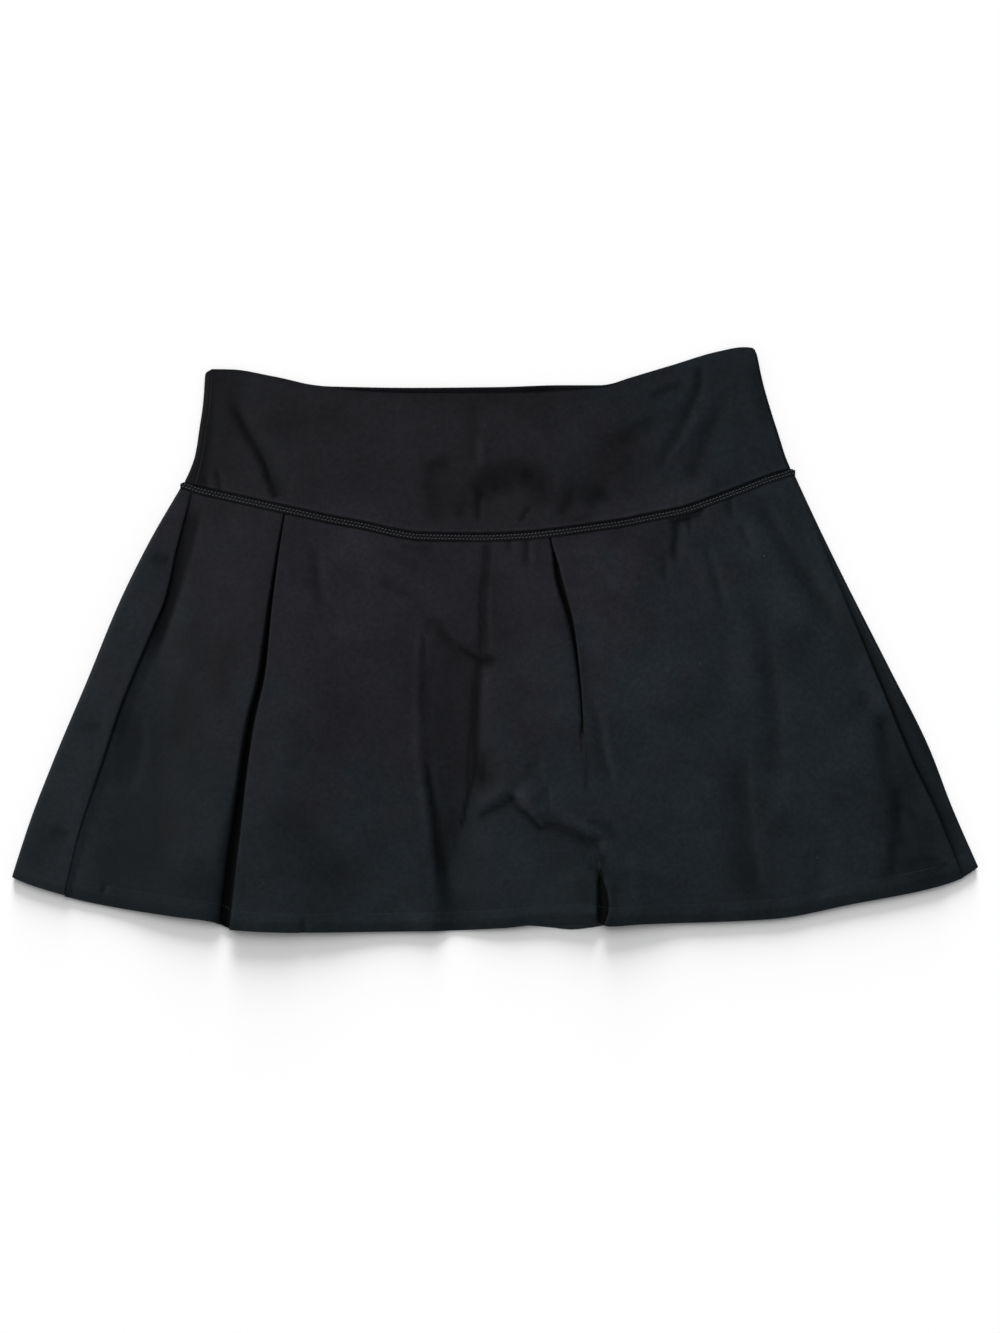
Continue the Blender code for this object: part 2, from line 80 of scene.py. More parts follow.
# The garment's outline: v runs down the skirt from the waist seam to the hem, w down the band.
waistX = (-0.1911, -0.1895, -0.1865, -0.1732, -0.1470, -0.1086, -0.0560, 0.0036, 0.0432,
          0.0690, 0.0908, 0.1172, 0.1480, 0.1640, 0.1700, 0.1732)
garment = {
    "skirtSides": {
        "v":       (0.00, 0.15, 0.30, 0.50, 0.70, 0.85, 1.00),
        "leftX":   (-0.2050, -0.2274, -0.2468, -0.2683, -0.2903, -0.3056, -0.3184),
        "rightX":  (0.1962, 0.2145, 0.2338, 0.2605, 0.2867, 0.3019, 0.3191),
        "leftInset":  (0.0065, 0.0180, 0.0268, 0.0258, 0.0295, 0.0318, 0.0350),
        "rightInset": (0.0036, 0.0036, 0.0048, 0.0085, 0.0118, 0.0088, 0.0100),
    },
    "bandSides": {
        "w":      (0.00, 0.25, 0.50, 0.75, 0.88, 1.00),
        "leftX":  (-0.1911, -0.1923, -0.1948, -0.1976, -0.2006, -0.2044),
        "rightX": (0.1732, 0.1772, 0.1826, 0.1886, 0.1916, 0.1952),
        "leftInset":  (0.0040, 0.0040, 0.0040, 0.0042, 0.0052, 0.0066),
        "rightInset": (0.0040, 0.0040, 0.0040, 0.0040, 0.0040, 0.0040),
    },
    "waistSeam": {
        "x": (-0.2040, -0.1930, -0.1778, -0.1359, -0.1077, -0.0850, -0.0640, -0.0500, -0.0100,
              0.0200, 0.0400, 0.0640, 0.0820, 0.1030, 0.1230, 0.1430, 0.1615, 0.1820, 0.1950),
        "y": (0.1044, 0.1012, 0.0976, 0.0882, 0.0820, 0.0778, 0.0730, 0.0709, 0.0702,
              0.0713, 0.0734, 0.0767, 0.0794, 0.0836, 0.0877, 0.0946, 0.1015, 0.1094, 0.1132),
    },
    "frontWaist": {
        "x": waistX,
        "y": (0.1740, 0.1768, 0.1781, 0.1779, 0.1736, 0.1657, 0.1622, 0.1619, 0.1633,
              0.1663, 0.1729, 0.1808, 0.1899, 0.1925, 0.1920, 0.1880),
    },
    "backWaist": {
        "x": waistX,
        "y": (0.1735, 0.1763, 0.1776, 0.1774, 0.1731, 0.1668, 0.1657, 0.1662, 0.1674,
              0.1674, 0.1724, 0.1803, 0.1894, 0.1920, 0.1915, 0.1875),
    },
    "frontHem": {
        "x": (-0.3184, -0.3052, -0.2657, -0.2129, -0.1860, -0.1730, -0.1284, -0.0360, 0.0069,
              0.0300, 0.0545, 0.0677, 0.0760, 0.0960, 0.1436, 0.1832, 0.2360, 0.2888, 0.3085,
              0.3191),
        "y": (-0.1558, -0.1617, -0.1729, -0.1815, -0.1852, -0.1902, -0.1921, -0.1914, -0.1894,
              -0.1868, -0.1855, -0.1861, -0.1880, -0.1868, -0.1855, -0.1835, -0.1736, -0.1630,
              -0.1565, -0.1492),
    },
    "backHem": {
        "x": (-0.3184, -0.3052, -0.2657, -0.2129, -0.1860, -0.1284, -0.0360, 0.0200, 0.0377,
              0.0508, 0.0639, 0.0800, 0.0960, 0.1436, 0.1832, 0.2360, 0.2888, 0.3085, 0.3191),
        "y": (-0.1558, -0.1612, -0.1719, -0.1805, -0.1842, -0.1909, -0.1904, -0.1880, -0.1893,
              -0.1906, -0.1893, -0.1868, -0.1858, -0.1845, -0.1825, -0.1726, -0.1620, -0.1560,
              -0.1492),
    },
    "seamGap": 0.5 * mm, "sideGap": 0.1 * mm,
    "skirtLength": 258 * mm, "bandHeight": 95 * mm,
    "ditchRun": 0.03,            # the share of the width over which the ditch begins at a side
}


# Curves and folds that every piece uses.

# A smooth curve through a table's points: cubic pieces that share their slopes.
def through(table, along, across, at):
    x, y = np.asarray(table[along], float), np.asarray(table[across], float)
    steps = np.diff(y) / np.diff(x)
    before, after = np.diff(x)[:-1], np.diff(x)[1:]
    sameWay = steps[:-1] * steps[1:] > 0
    weightA, weightB = 2 * after + before, after + 2 * before
    product = np.where(sameWay, steps[:-1] * steps[1:], 1.0)
    inner = (weightA + weightB) * product / np.where(
        sameWay, weightA * steps[1:] + weightB * steps[:-1], 1.0)
    slopes = np.concatenate(([steps[0]], np.where(sameWay, inner, 0.0), [steps[-1]]))
    at = np.clip(np.asarray(at, float), x[0], x[-1])
    i = np.clip(np.searchsorted(x, at) - 1, 0, len(x) - 2)
    span = x[i + 1] - x[i]
    t = (at - x[i]) / span
    return ((1 + 2 * t) * (1 - t) ** 2 * y[i] + t * (1 - t) ** 2 * span * slopes[i]
            + t * t * (3 - 2 * t) * y[i + 1] + t * t * (t - 1) * span * slopes[i + 1])


# 0 below 0, 1 above 1, and a smooth step between.
def ease(t):
    t = np.clip(t, 0.0, 1.0)
    return t * t * (3 - 2 * t)


def acrossCurve(curve, share):  # y of a curve at a share of its width, 0 left and 1 right
    first, last = curve["x"][0], curve["x"][-1]
    return through(curve, "x", "y", first + share * (last - first))


def sidesOf(table, along, at):  # x of the outline and of the seams, left and right
    left, right = through(table, along, "leftX", at), through(table, along, "rightX", at)
    half = garment["sideGap"] / 2
    return {"left": left, "right": right,
            "leftSeam": left + through(table, along, "leftInset", at), "half": half,
            "rightSeam": right - through(table, along, "rightInset", at)}


# y in the skirt: a share v of the way from the waist seam down to the hem.
def skirtY(x, v, hem):
    sides = sidesOf(garment["skirtSides"], "v", v)
    share = (x - sides["left"]) / (sides["right"] - sides["left"])
    top = acrossCurve(garment["waistSeam"], share) - garment["seamGap"] / 2
    return top + (acrossCurve(hem, share) - top) * v


# y in the waistband: a share w of the way from its edge down to the waist seam.
def bandY(x, w, edge, ditch):
    sides = sidesOf(garment["bandSides"], "w", w)
    share = (x - sides["left"]) / (sides["right"] - sides["left"])
    top = acrossCurve(edge, share)
    inside = ease((0.5 - np.abs(share - 0.5)) / garment["ditchRun"])
    return top + (acrossCurve(garment["waistSeam"], share) + ditch * inside - top) * w


def smoothPath(points, count=33):  # a smooth line through points in millimetres, in metres
    points = np.asarray(points, float) * mm
    run = np.concatenate(([0.0], np.cumsum(np.linalg.norm(np.diff(points, axis=0), axis=1))))
    table = {"s": run, "x": points[:, 0], "y": points[:, 1]}
    at = np.linspace(0.0, run[-1], count)
    return np.stack([through(table, "s", "x", at), through(table, "s", "y", at)], axis=1)


# One fold in millimetres: its path, its height, its half widths on the left and right as one
# walks along it (a pair is its start and its end), the painted shade that it puts into the
# colour as a share taken off (painted light where below 0), the shares of its length over
# which it fades in and out, and how square its flanks are.
def fold(path, high, left, right, dark=None, fade=(0.25, 0.25), sharp=2.0):
    if dark is None:
        dark = 0.2 * (high < 0)  # a trough gets a little painted shade
    return {"path": path, "high": high, "left": left, "right": right, "dark": dark,
            "fade": fade, "sharp": sharp}


# A patch of painted shade without height, or of painted light where "dark" is below 0.
def paintedTone(path, left, right, dark, **more):
    return fold(path, 0.0, left, right, dark, **more)


# Height of soft folds at (x, y), and the share of the colour that their painted shade and
# painted light leave. Each is its height times exp(-(distance / half width)^sharp), fading at
# both ends.
def foldShape(x, y, folds):
    farthest = 2.6  # half widths, past which nothing is left of a fold
    total, kept = np.zeros_like(x), np.ones_like(x)
    for crease in folds:
        path = smoothPath(crease["path"])
        widths = [*np.atleast_1d(crease["left"]), *np.atleast_1d(crease["right"])]
        reach = farthest * max(widths) * mm
        near = ((x > path[:, 0].min() - reach) & (x < path[:, 0].max() + reach)
                & (y > path[:, 1].min() - reach) & (y < path[:, 1].max() + reach))
        px, py = x[near][:, None], y[near][:, None]
        start, run = path[:-1], np.diff(path, axis=0)
        t = ((px - start[:, 0]) * run[:, 0] + (py - start[:, 1]) * run[:, 1]) / (run ** 2).sum(1)
        t = np.clip(t, 0.0, 1.0)
        dx, dy = px - start[:, 0] - t * run[:, 0], py - start[:, 1] - t * run[:, 1]
        best = (dx * dx + dy * dy).argmin(axis=1)
        rows = np.arange(len(best))
        t, dx, dy, run = t[rows, best], dx[rows, best], dy[rows, best], run[best]
        toLeft = run[:, 0] * dy - run[:, 1] * dx > 0
        along = (best + t) / (len(path) - 1)
        wide = mm * np.where(toLeft, between(crease["left"], along),
                             between(crease["right"], along))
        fadeIn, fadeOut = crease["fade"]
        fade = (ease(along / fadeIn) if fadeIn else 1.0) * (
            ease((1 - along) / fadeOut) if fadeOut else 1.0)
        profile = np.exp(-(np.hypot(dx, dy) / wide) ** crease["sharp"])
        total[near] += crease["high"] * mm * fade * profile
        kept[near] *= 1 - crease["dark"] * fade * profile
    return total, kept


def between(sizes, along):  # a size that may differ at the start and the end
    first, last = np.atleast_1d(sizes)[0], np.atleast_1d(sizes)[-1]
    return first + (last - first) * along


# Slow uneven waves: a few sine waves of unlike lengths and directions, about 1 high.
def slowWaves(x, y, length, turn=0.0):
    a, b = x / length + turn, y / length - turn
    waves = ((6.3, 2.1, 0.0), (-3.7, 5.2, 1.3), (8.1, -4.4, 2.9), (2.2, 9.3, 4.0))
    return sum(np.sin(alongX * a + alongY * b + shift) for alongX, alongY, shift in waves) / 4


# Meshes.

def unit(vectors):  # vectors made one long
    return vectors / np.maximum(np.linalg.norm(vectors, axis=-1, keepdims=True), 1e-12)


def squareTo(vectors, leads):  # unit vectors with what they have along the leads taken off
    return unit(vectors - (vectors * leads).sum(-1, keepdims=True) * leads)


def gridNormals(points):  # unit normals of a grid whose rows run down and columns across
    return unit(np.cross(np.gradient(points, axis=0), np.gradient(points, axis=1)))


turnRows = 5  # rows of points round a turned edge


# The last row turned under: a half circle as wide as "apart", then the last rows once more,
# that far off on one side (1 along the normals, -1 against them).
def turnUnder(points, side, apart, rowsBack):
    normals = gridNormals(points)
    lead = unit(points[-1] - points[-2])
    angle = np.linspace(0.0, np.pi, turnRows + 2)[1:-1, None, None]
    turned = points[-1] + apart / 2 * (np.sin(angle) * lead
                                       + side * (1 - np.cos(angle)) * normals[-1])
    back = (points + side * apart * normals)[::-1][:rowsBack]
    return np.concatenate([points, turned, back])


# Cloth coordinates: true lengths over the sheet, across from its middle column and down.
def clothLengths(points):
    across = np.linalg.norm(np.diff(points, axis=1), axis=2).cumsum(axis=1)
    across = np.pad(across, ((0, 0), (1, 0)))
    across = across - across[:, across.shape[1] // 2][:, None]
    down = np.linalg.norm(np.diff(points, axis=0), axis=2).cumsum(axis=0)
    return np.stack([across, np.pad(down, ((1, 0), (0, 0)))], axis=2)


def newMesh(name, points, faces, material):  # an object at the origin, smooth, one material
    mesh = bpy.data.meshes.new(name)
    mesh.from_pydata(points.tolist(), [], faces.tolist())
    mesh.shade_smooth()
    mesh.materials.append(material)
    piece = bpy.data.objects.new(name, mesh)
    bpy.context.scene.collection.objects.link(piece)
    return piece


# A sheet of cloth from a grid of points, with its lengths as UVs and a painted shade for its
# colour: painted shade where it is below 1, painted light above 1. The painted shade's last row
# goes on over the rows that are turned under.
def clothSheet(name, points, thick, material, paintedShade=None):
    rows, columns = points.shape[:2]
    index = np.arange(rows * columns).reshape(rows, columns)
    faces = np.stack([index[:-1, :-1], index[1:, :-1], index[1:, 1:], index[:-1, 1:]], axis=2)
    piece = newMesh(name, points.reshape(-1, 3), faces.reshape(-1, 4), material)
    mesh = piece.data
    corner = np.empty(len(mesh.loops), np.int32)
    mesh.loops.foreach_get("vertex_index", corner)
    uv = mesh.uv_layers.new(name="clothLengths")
    uv.data.foreach_set("uv", clothLengths(points).reshape(-1, 2)[corner].ravel())
    # the painted shade is kept as an attribute that scales the knit's colour
    light = mesh.attributes.new("paintedShade", "FLOAT", "POINT")
    paintedShade = np.ones((rows, columns)) if paintedShade is None else paintedShade
    paintedShade = np.pad(paintedShade, ((0, rows - len(paintedShade)), (0, 0)), mode="edge")
    light.data.foreach_set("value", paintedShade.astype(np.float32).ravel())
    wall = piece.modifiers.new("cloth", "SOLIDIFY")
    wall.thickness, wall.offset = thick, 0.0
    wall.use_quality_normals = True
    return piece


# Stitches as small bent capsules: a circle carried along a half ellipse that dips at its ends.
def stitchMesh(name, centres, leads, normals, size, material):
    sides, rings = 6, 5  # each end is closed by two faces of four corners
    turn = np.linspace(0, 2 * np.pi, sides, endpoint=False)
    along = np.linspace(-1.0, 1.0, rings)
    girth = np.sqrt(np.maximum(1 - along ** 4, 0.10))
    local = np.zeros((rings, sides, 3))
    local[..., 0] = along[:, None] * size["long"] / 2
    local[..., 1] = girth[:, None] * np.cos(turn) * size["thick"] / 2
    local[..., 2] = girth[:, None] * np.sin(turn) * size["thick"] / 2 - size["dip"] * (
        along ** 2)[:, None]
    local = local.reshape(-1, 3)
    across = np.cross(normals, leads)
    points = (centres[:, None] + local[None, :, :1] * leads[:, None]
              + local[None, :, 1:2] * across[:, None] + local[None, :, 2:] * normals[:, None])
    index = np.arange(rings * sides).reshape(rings, sides)
    following = np.roll(index, -1, axis=1)
    tube = np.stack([index[:-1], following[:-1], following[1:], index[1:]], axis=2).reshape(-1, 4)
    ends = np.array([[0, 3, 2, 1], [0, 5, 4, 3]])
    faces = np.concatenate([tube, ends, index[-1][[[0, 1, 2, 3], [0, 3, 4, 5]]]])
    faces = faces[None] + (np.arange(len(centres)) * rings * sides)[:, None, None]
    return newMesh(name, points.reshape(-1, 3), faces.reshape(-1, 4), material)


# Places along a line of points every "pitch": centres, directions and normals.
def alongLine(line, normals, pitch, start=0.0):
    run = np.concatenate(([0.0], np.cumsum(np.linalg.norm(np.diff(line, axis=0), axis=1))))
    at = np.arange(start + pitch / 2, run[-1] - pitch / 2, pitch)
    place = lambda values, s: np.stack([np.interp(s, run, values[:, k]) for k in range(3)], 1)
    leads = unit(place(line, at + pitch / 4) - place(line, at - pitch / 4))
    return place(line, at), leads, squareTo(place(normals, at), leads)


# Finishes: colours from the middle outwards, and how the knit or the thread is made.
looks = {
    "skirtJersey": {"warm": (0.0114, 0.0108, 0.0138), "cool": (0.0097, 0.0129, 0.0157),
                    "rough": 0.52, "specular": 0.05, "sheen": 0.05, "knit": 0.55 * mm,
                    "bump": 0.35},
    "bandJersey": {"warm": (0.0107, 0.0101, 0.0127), "cool": (0.0090, 0.0119, 0.0146),
                   "rough": 0.52, "specular": 0.05, "sheen": 0.05, "knit": 0.50 * mm,
                   "bump": 0.30},
    "seamJersey": {"warm": (0.0054, 0.0053, 0.0064), "cool": (0.0050, 0.0061, 0.0071),
                   "rough": 0.52, "specular": 0.05, "sheen": 0.05, "knit": 0.50 * mm,
                   "bump": 0.40},
    "shortsJersey": {"warm": (0.0095, 0.0095, 0.0110), "cool": (0.0090, 0.0098, 0.0115),
                     "rough": 0.75, "specular": 0.25, "sheen": 0.10, "knit": 0.45 * mm,
                     "bump": 0.25},
    "seamThread": {"colour": (0.053, 0.056, 0.063), "rough": 0.6, "specular": 0.2, "sheen": 0.1},
    "hemThread": {"colour": (0.018, 0.019, 0.022), "rough": 0.6, "specular": 0.2, "sheen": 0.1},
}

# Marks in the knit: scales are per metre, and in a pair the first number is what a pattern is
# multiplied by and the second is what is added to that.
knitMarks = {
    "warmest": (-0.062, 0.07, 0.0), "outward": (9.0, -1.0),
    "drift": {"Scale": 30.0, "Detail": 6.0, "Roughness": 0.8}, "driftLevel": (4.4, -2.2),
    "mottle": {"Scale": 330.0, "Detail": 4.0, "Roughness": 0.7}, "mottleLevel": (1.10, 0.45),
    "wear": {"Scale": 26.0, "Detail": 5.0, "Roughness": 0.7}, "wearLevel": (1.00, 0.50),
    "lintScale": 70.0, "lintLevel": (-26.0, 1.2), "lintShare": 0.66, "lintBright": (2.6, 1.0),
    "courses": 1.25, "ribDeep": 4.0, "stitchDeep": 0.3, "fuzzDeep": 1.2,
    "fuzz": {"Scale": 900.0, "Detail": 2.0}, "bumpHigh": 0.08 * mm,
}
threadMarks = {"Scale": 900.0, "Distortion": 2.0, "bump": 0.3, "bumpHigh": 0.05 * mm}
sheenLook = {"Sheen Roughness": 0.45, "Sheen Tint": (0.85, 0.93, 1.0, 1.0)}


def addNode(tree, kind, settings=None, **values):  # a node with its settings and its values
    made = tree.nodes.new(kind)
    for key, value in (settings or {}).items():
        setattr(made, key, value)
    for key, value in values.items():
        made.inputs[key].default_value = value
    return made


def mathNode(tree, operation, *values):  # each value is a number or another node's socket
    made = addNode(tree, "ShaderNodeMath", {"operation": operation})
    for i, value in enumerate(values):
        if isinstance(value, bpy.types.NodeSocket):
            tree.links.new(value, made.inputs[i])
        else:
            made.inputs[i].default_value = value
    return made.outputs[0]


def noiseNode(tree, place, **values):  # soft noise at the piece's own coordinates
    made = addNode(tree, "ShaderNodeTexNoise", **values)
    tree.links.new(place.outputs["Object"], made.inputs["Vector"])
    return made.outputs["Fac"]


def newMaterial(name):  # a material with its nodes, its shader and the coordinates it reads
    material = bpy.data.materials.new(name)
    material.use_nodes = True
    tree = material.node_tree
    return material, tree, tree.nodes["Principled BSDF"], addNode(tree, "ShaderNodeTexCoord")


# Black knit: its colour drifts from warm in the middle to cool outside, mottled, with a few
# specks of lint, times the piece's painted shade: painted shade in folds, grooves and along
# seams, and painted light in a few places. Its bump is rows of small V stitches, in the
# cloth's own lengths.
def jersey(name):
    look, marks = looks[name], knitMarks
    material, tree, shader, place = newMaterial(name)
    link = tree.links.new
    away = addNode(tree, "ShaderNodeVectorMath", {"operation": "DISTANCE"})
    link(place.outputs["Object"], away.inputs[0])
    away.inputs[1].default_value = marks["warmest"]
    outward = mathNode(tree, "MULTIPLY_ADD", away.outputs["Value"], *marks["outward"])
    drift = noiseNode(tree, place, **marks["drift"])
    wander = mathNode(tree, "MULTIPLY_ADD", drift, *marks["driftLevel"])
    coolness = mathNode(tree, "ADD", outward, wander)
    coolness.node.use_clamp = True
    tint = addNode(tree, "ShaderNodeMix", {"data_type": "RGBA"},
                   A=(*look["warm"], 1.0), B=(*look["cool"], 1.0))
    link(coolness, tint.inputs["Factor"])

    mottle = noiseNode(tree, place, **marks["mottle"])
    level = mathNode(tree, "MULTIPLY_ADD", mottle, *marks["mottleLevel"])
    wear = noiseNode(tree, place, **marks["wear"])
    level = mathNode(tree, "MULTIPLY", level,
                     mathNode(tree, "MULTIPLY_ADD", wear, *marks["wearLevel"]))
    lint = addNode(tree, "ShaderNodeTexVoronoi", {"feature": "F1"}, Scale=marks["lintScale"])
    link(place.outputs["Object"], lint.inputs["Vector"])
    speck = mathNode(tree, "MULTIPLY_ADD", lint.outputs["Distance"], *marks["lintLevel"])
    speck.node.use_clamp = True
    seldom = mathNode(tree, "GREATER_THAN", lint.outputs["Color"], marks["lintShare"])
    bright = mathNode(tree, "MULTIPLY_ADD", mathNode(tree, "MULTIPLY", speck, seldom),
                      *marks["lintBright"])
    level = mathNode(tree, "MULTIPLY", level, bright)
    # painted shade and painted light: the piece's attribute scales the colour
    paintedShade = addNode(tree, "ShaderNodeAttribute", {"attribute_name": "paintedShade"})
    level = mathNode(tree, "MULTIPLY", level, paintedShade.outputs["Fac"])
    colour = addNode(tree, "ShaderNodeVectorMath", {"operation": "SCALE"})
    link(tint.outputs["Result"], colour.inputs[0])
    link(level, colour.inputs["Scale"])
    link(colour.outputs["Vector"], shader.inputs["Base Color"])

    lengths = addNode(tree, "ShaderNodeUVMap", {"uv_map": "clothLengths"})
    parts = addNode(tree, "ShaderNodeSeparateXYZ")
    link(lengths.outputs["UV"], parts.inputs[0])
    wale = mathNode(tree, "FRACT", mathNode(tree, "MULTIPLY", parts.outputs["X"],
                                            1 / look["knit"]))
    offWale = mathNode(tree, "ABSOLUTE", mathNode(tree, "SUBTRACT", wale, 0.5))
    course = mathNode(tree, "ADD", mathNode(tree, "MULTIPLY", parts.outputs["Y"],
                                            marks["courses"] / look["knit"]), offWale)
    stitch = mathNode(tree, "COSINE", mathNode(tree, "MULTIPLY", course, 2 * np.pi))
    rib = mathNode(tree, "MULTIPLY", mathNode(tree, "MULTIPLY", offWale, offWale),
                   -marks["ribDeep"])
    knit = mathNode(tree, "MULTIPLY_ADD", stitch, marks["stitchDeep"], rib)
    fuzz = noiseNode(tree, place, **marks["fuzz"])
    height = mathNode(tree, "MULTIPLY_ADD", fuzz, marks["fuzzDeep"], knit)
    bump = addNode(tree, "ShaderNodeBump", Strength=look["bump"], Distance=marks["bumpHigh"])
    link(height, bump.inputs["Height"])
    link(bump.outputs["Normal"], shader.inputs["Normal"])
    finishSockets(shader, look)
    return material


# Sewing thread: twisted, so its bump is fine slanting lines.
def sewingThread(name):
    look, marks = looks[name], threadMarks
    material, tree, shader, place = newMaterial(name)
    twist = addNode(tree, "ShaderNodeTexWave", {"bands_direction": "DIAGONAL"},
                    Scale=marks["Scale"], Distortion=marks["Distortion"])
    tree.links.new(place.outputs["Object"], twist.inputs["Vector"])
    bump = addNode(tree, "ShaderNodeBump", Strength=marks["bump"], Distance=marks["bumpHigh"])
    tree.links.new(twist.outputs["Fac"], bump.inputs["Height"])
    tree.links.new(bump.outputs["Normal"], shader.inputs["Normal"])
    shader.inputs["Base Color"].default_value = (*look["colour"], 1.0)
    finishSockets(shader, look)
    return material


def finishSockets(shader, look):  # what is the same all over a surface
    sockets = {"Roughness": look["rough"], "Specular IOR Level": look["specular"],
               "Sheen Weight": look["sheen"], **sheenLook}
    for socket, value in sockets.items():
        shader.inputs[socket].default_value = value


skirtJersey, bandJersey = jersey("skirtJersey"), jersey("bandJersey")
seamJersey, shortsJersey = jersey("seamJersey"), jersey("shortsJersey")
seamThread, hemThread = sewingThread("seamThread"), sewingThread("hemThread")
print("finishes made")


# The skirt's front.
skirt = {
    "thick": 0.5 * mm,
    "overShorts": 4.8 * mm,      # height of its middle where the inner shorts are under it
    "overBack": 3.3 * mm,        # and where only the back does
    "shorts": {"left": -222 * mm, "right": 214 * mm, "soft": 24 * mm, "seam": 0.30,
               "hem": 0.95, "hemSoft": 0.14},
    "centre": {"v": (0.00, 0.65, 1.00), "x": (-0.0050, -0.0090, -0.0120)},
    "hemApart": 0.6 * mm, "hemDeep": 13.5 * mm,
    "hemStitch": (5.6 * mm, 11.6 * mm),
    "overLayer": 1.1 * mm, "overLegs": 1.5 * mm,    # its middle stays this high above them
    "seamRise": 1.4 * mm,        # where it sweeps up to the side seams
    "plainRows": 100, "hemRows": 20,
    "columns": (58, 108, 100), "rollColumns": 10, "bendColumns": 6, "seamColumns": 8,
    "runColumns": 3,             # points along each straight run in a pleat
    "tuckClear": 1.2 * mm,       # a groove stays this far from where the fold starts
    "foldReach": 0.3 * mm,       # the upper cloth counts from this far outside its fold
    "grooveDark": 0.93, "openFrom": 0.8 * mm, "openRun": 1.0 * mm,   # an open pleat's groove, and its painted shade
    "mouth": (0.82, 0.24),       # where up a fold its painted shade gives way, and over how much of it
    "wallHigh": 2.5 * mm, "wallDark": {"left": 0.6, "right": 0.8},   # steps at the side seams, and their painted shade
    "layerSoft": 0.25 * mm,      # how softly it is held above the layers below
    # waves: gathers that die away below the waist seam, broad ones, upright ones that fan out
    # down the skirt, and puckers that die away above the hem
    "gathers": {"high": 0.32 * mm, "long": 34 * mm, "run": 22 * mm},
    "broad": {"high": 0.18 * mm, "long": 190 * mm, "turn": 0.4},
    "upright": {"high": 0.13 * mm, "long": 62 * mm, "turn": 0.9, "fan": 0.22, "at": 250 * mm,
                "slow": 0.15},
    "puckers": {"high": 0.10 * mm, "long": 24 * mm, "turn": 1.1, "run": 12 * mm},
    # the hem's sewing: its rows sink in, its edge bends down and gets painted shade, and between
    # the rows the turned cloth gets a painted highlight, in places, from "start" on
    "sunk": (0.22 * mm, 0.12 * mm), "sunkWide": 0.9 * mm,
    "edgeRun": 6.6 * mm, "edgeDrop": 0.8 * mm, "edgeDark": 0.24,
    "turning": {"above": 9.0 * mm, "wide": 3.0 * mm, "light": 0.08, "start": -0.20,
                "run": 0.06, "long": 70 * mm, "turn": 0.3},
}

# Heights along the side seams: of the seam itself, of the back's edge outside it and of the
# front inside it, the runs over which both come to the seam, how far the edge drops out to its
# fold, and the painted shade that the front gets beside it. On the right the front lies on the
# back's edge, so there the edge gets a painted shadow, fading outwards.
sideHeights = {
    "v":          (0.00, 0.06, 0.20, 0.35, 0.50, 0.65, 0.80, 1.00),
    "leftSeam":   (0.0045, 0.0056, 0.0066, 0.0066, 0.0062, 0.0056, 0.0047, 0.0044),
    "leftStrip":  (0.0046, 0.0058, 0.0068, 0.0068, 0.0064, 0.0058, 0.0049, 0.0045),
    "leftFront":  (0.0046, 0.0047, 0.0050, 0.0050, 0.0046, 0.0043, 0.0042, 0.0042),
    "leftRun":    (0.0080, 0.0090, 0.0090, 0.0090, 0.0090, 0.0080, 0.0060, 0.0040),
    "leftDrop":   (0.0002, 0.0002, 0.0002, 0.0003, 0.0003, 0.0003, 0.0003, 0.0002),
    "leftDark":   (0.20, 0.30, 0.35, 0.35, 0.25, 0.10, 0.00, 0.00),
    "rightSeam":  (0.0040, 0.0041, 0.0041, 0.0034, 0.0026, 0.0022, 0.0024, 0.0034),
    "rightStrip": (0.0040, 0.0041, 0.0044, 0.0048, 0.0050, 0.0050, 0.0050, 0.0044),
    "rightFront": (0.0046, 0.0048, 0.0049, 0.0048, 0.0047, 0.0046, 0.0043, 0.0040),
    "rightRun":   (0.0100, 0.0120, 0.0120, 0.0120, 0.0120, 0.0120, 0.0120, 0.0100),
    "rightDrop":  (0.0002, 0.0003, 0.0004, 0.0006, 0.0010, 0.0012, 0.0012, 0.0008),
    "rightDark":  (0.00, 0.00, 0.00, 0.00, 0.00, 0.00, 0.05, 0.10),
    "rightLap":   (0.0022, 0.0022, 0.0009, 0.0000, 0.0000, 0.0000, 0.0000, 0.0000),
    "stripDark":  (0.00, 0.00, 0.10, 0.80, 0.92, 0.96, 0.95, 0.80),
    "stripFades": (0.0008, 0.0008, 0.0010, 0.0013, 0.0050, 0.0090, 0.0060, 0.0010),
}

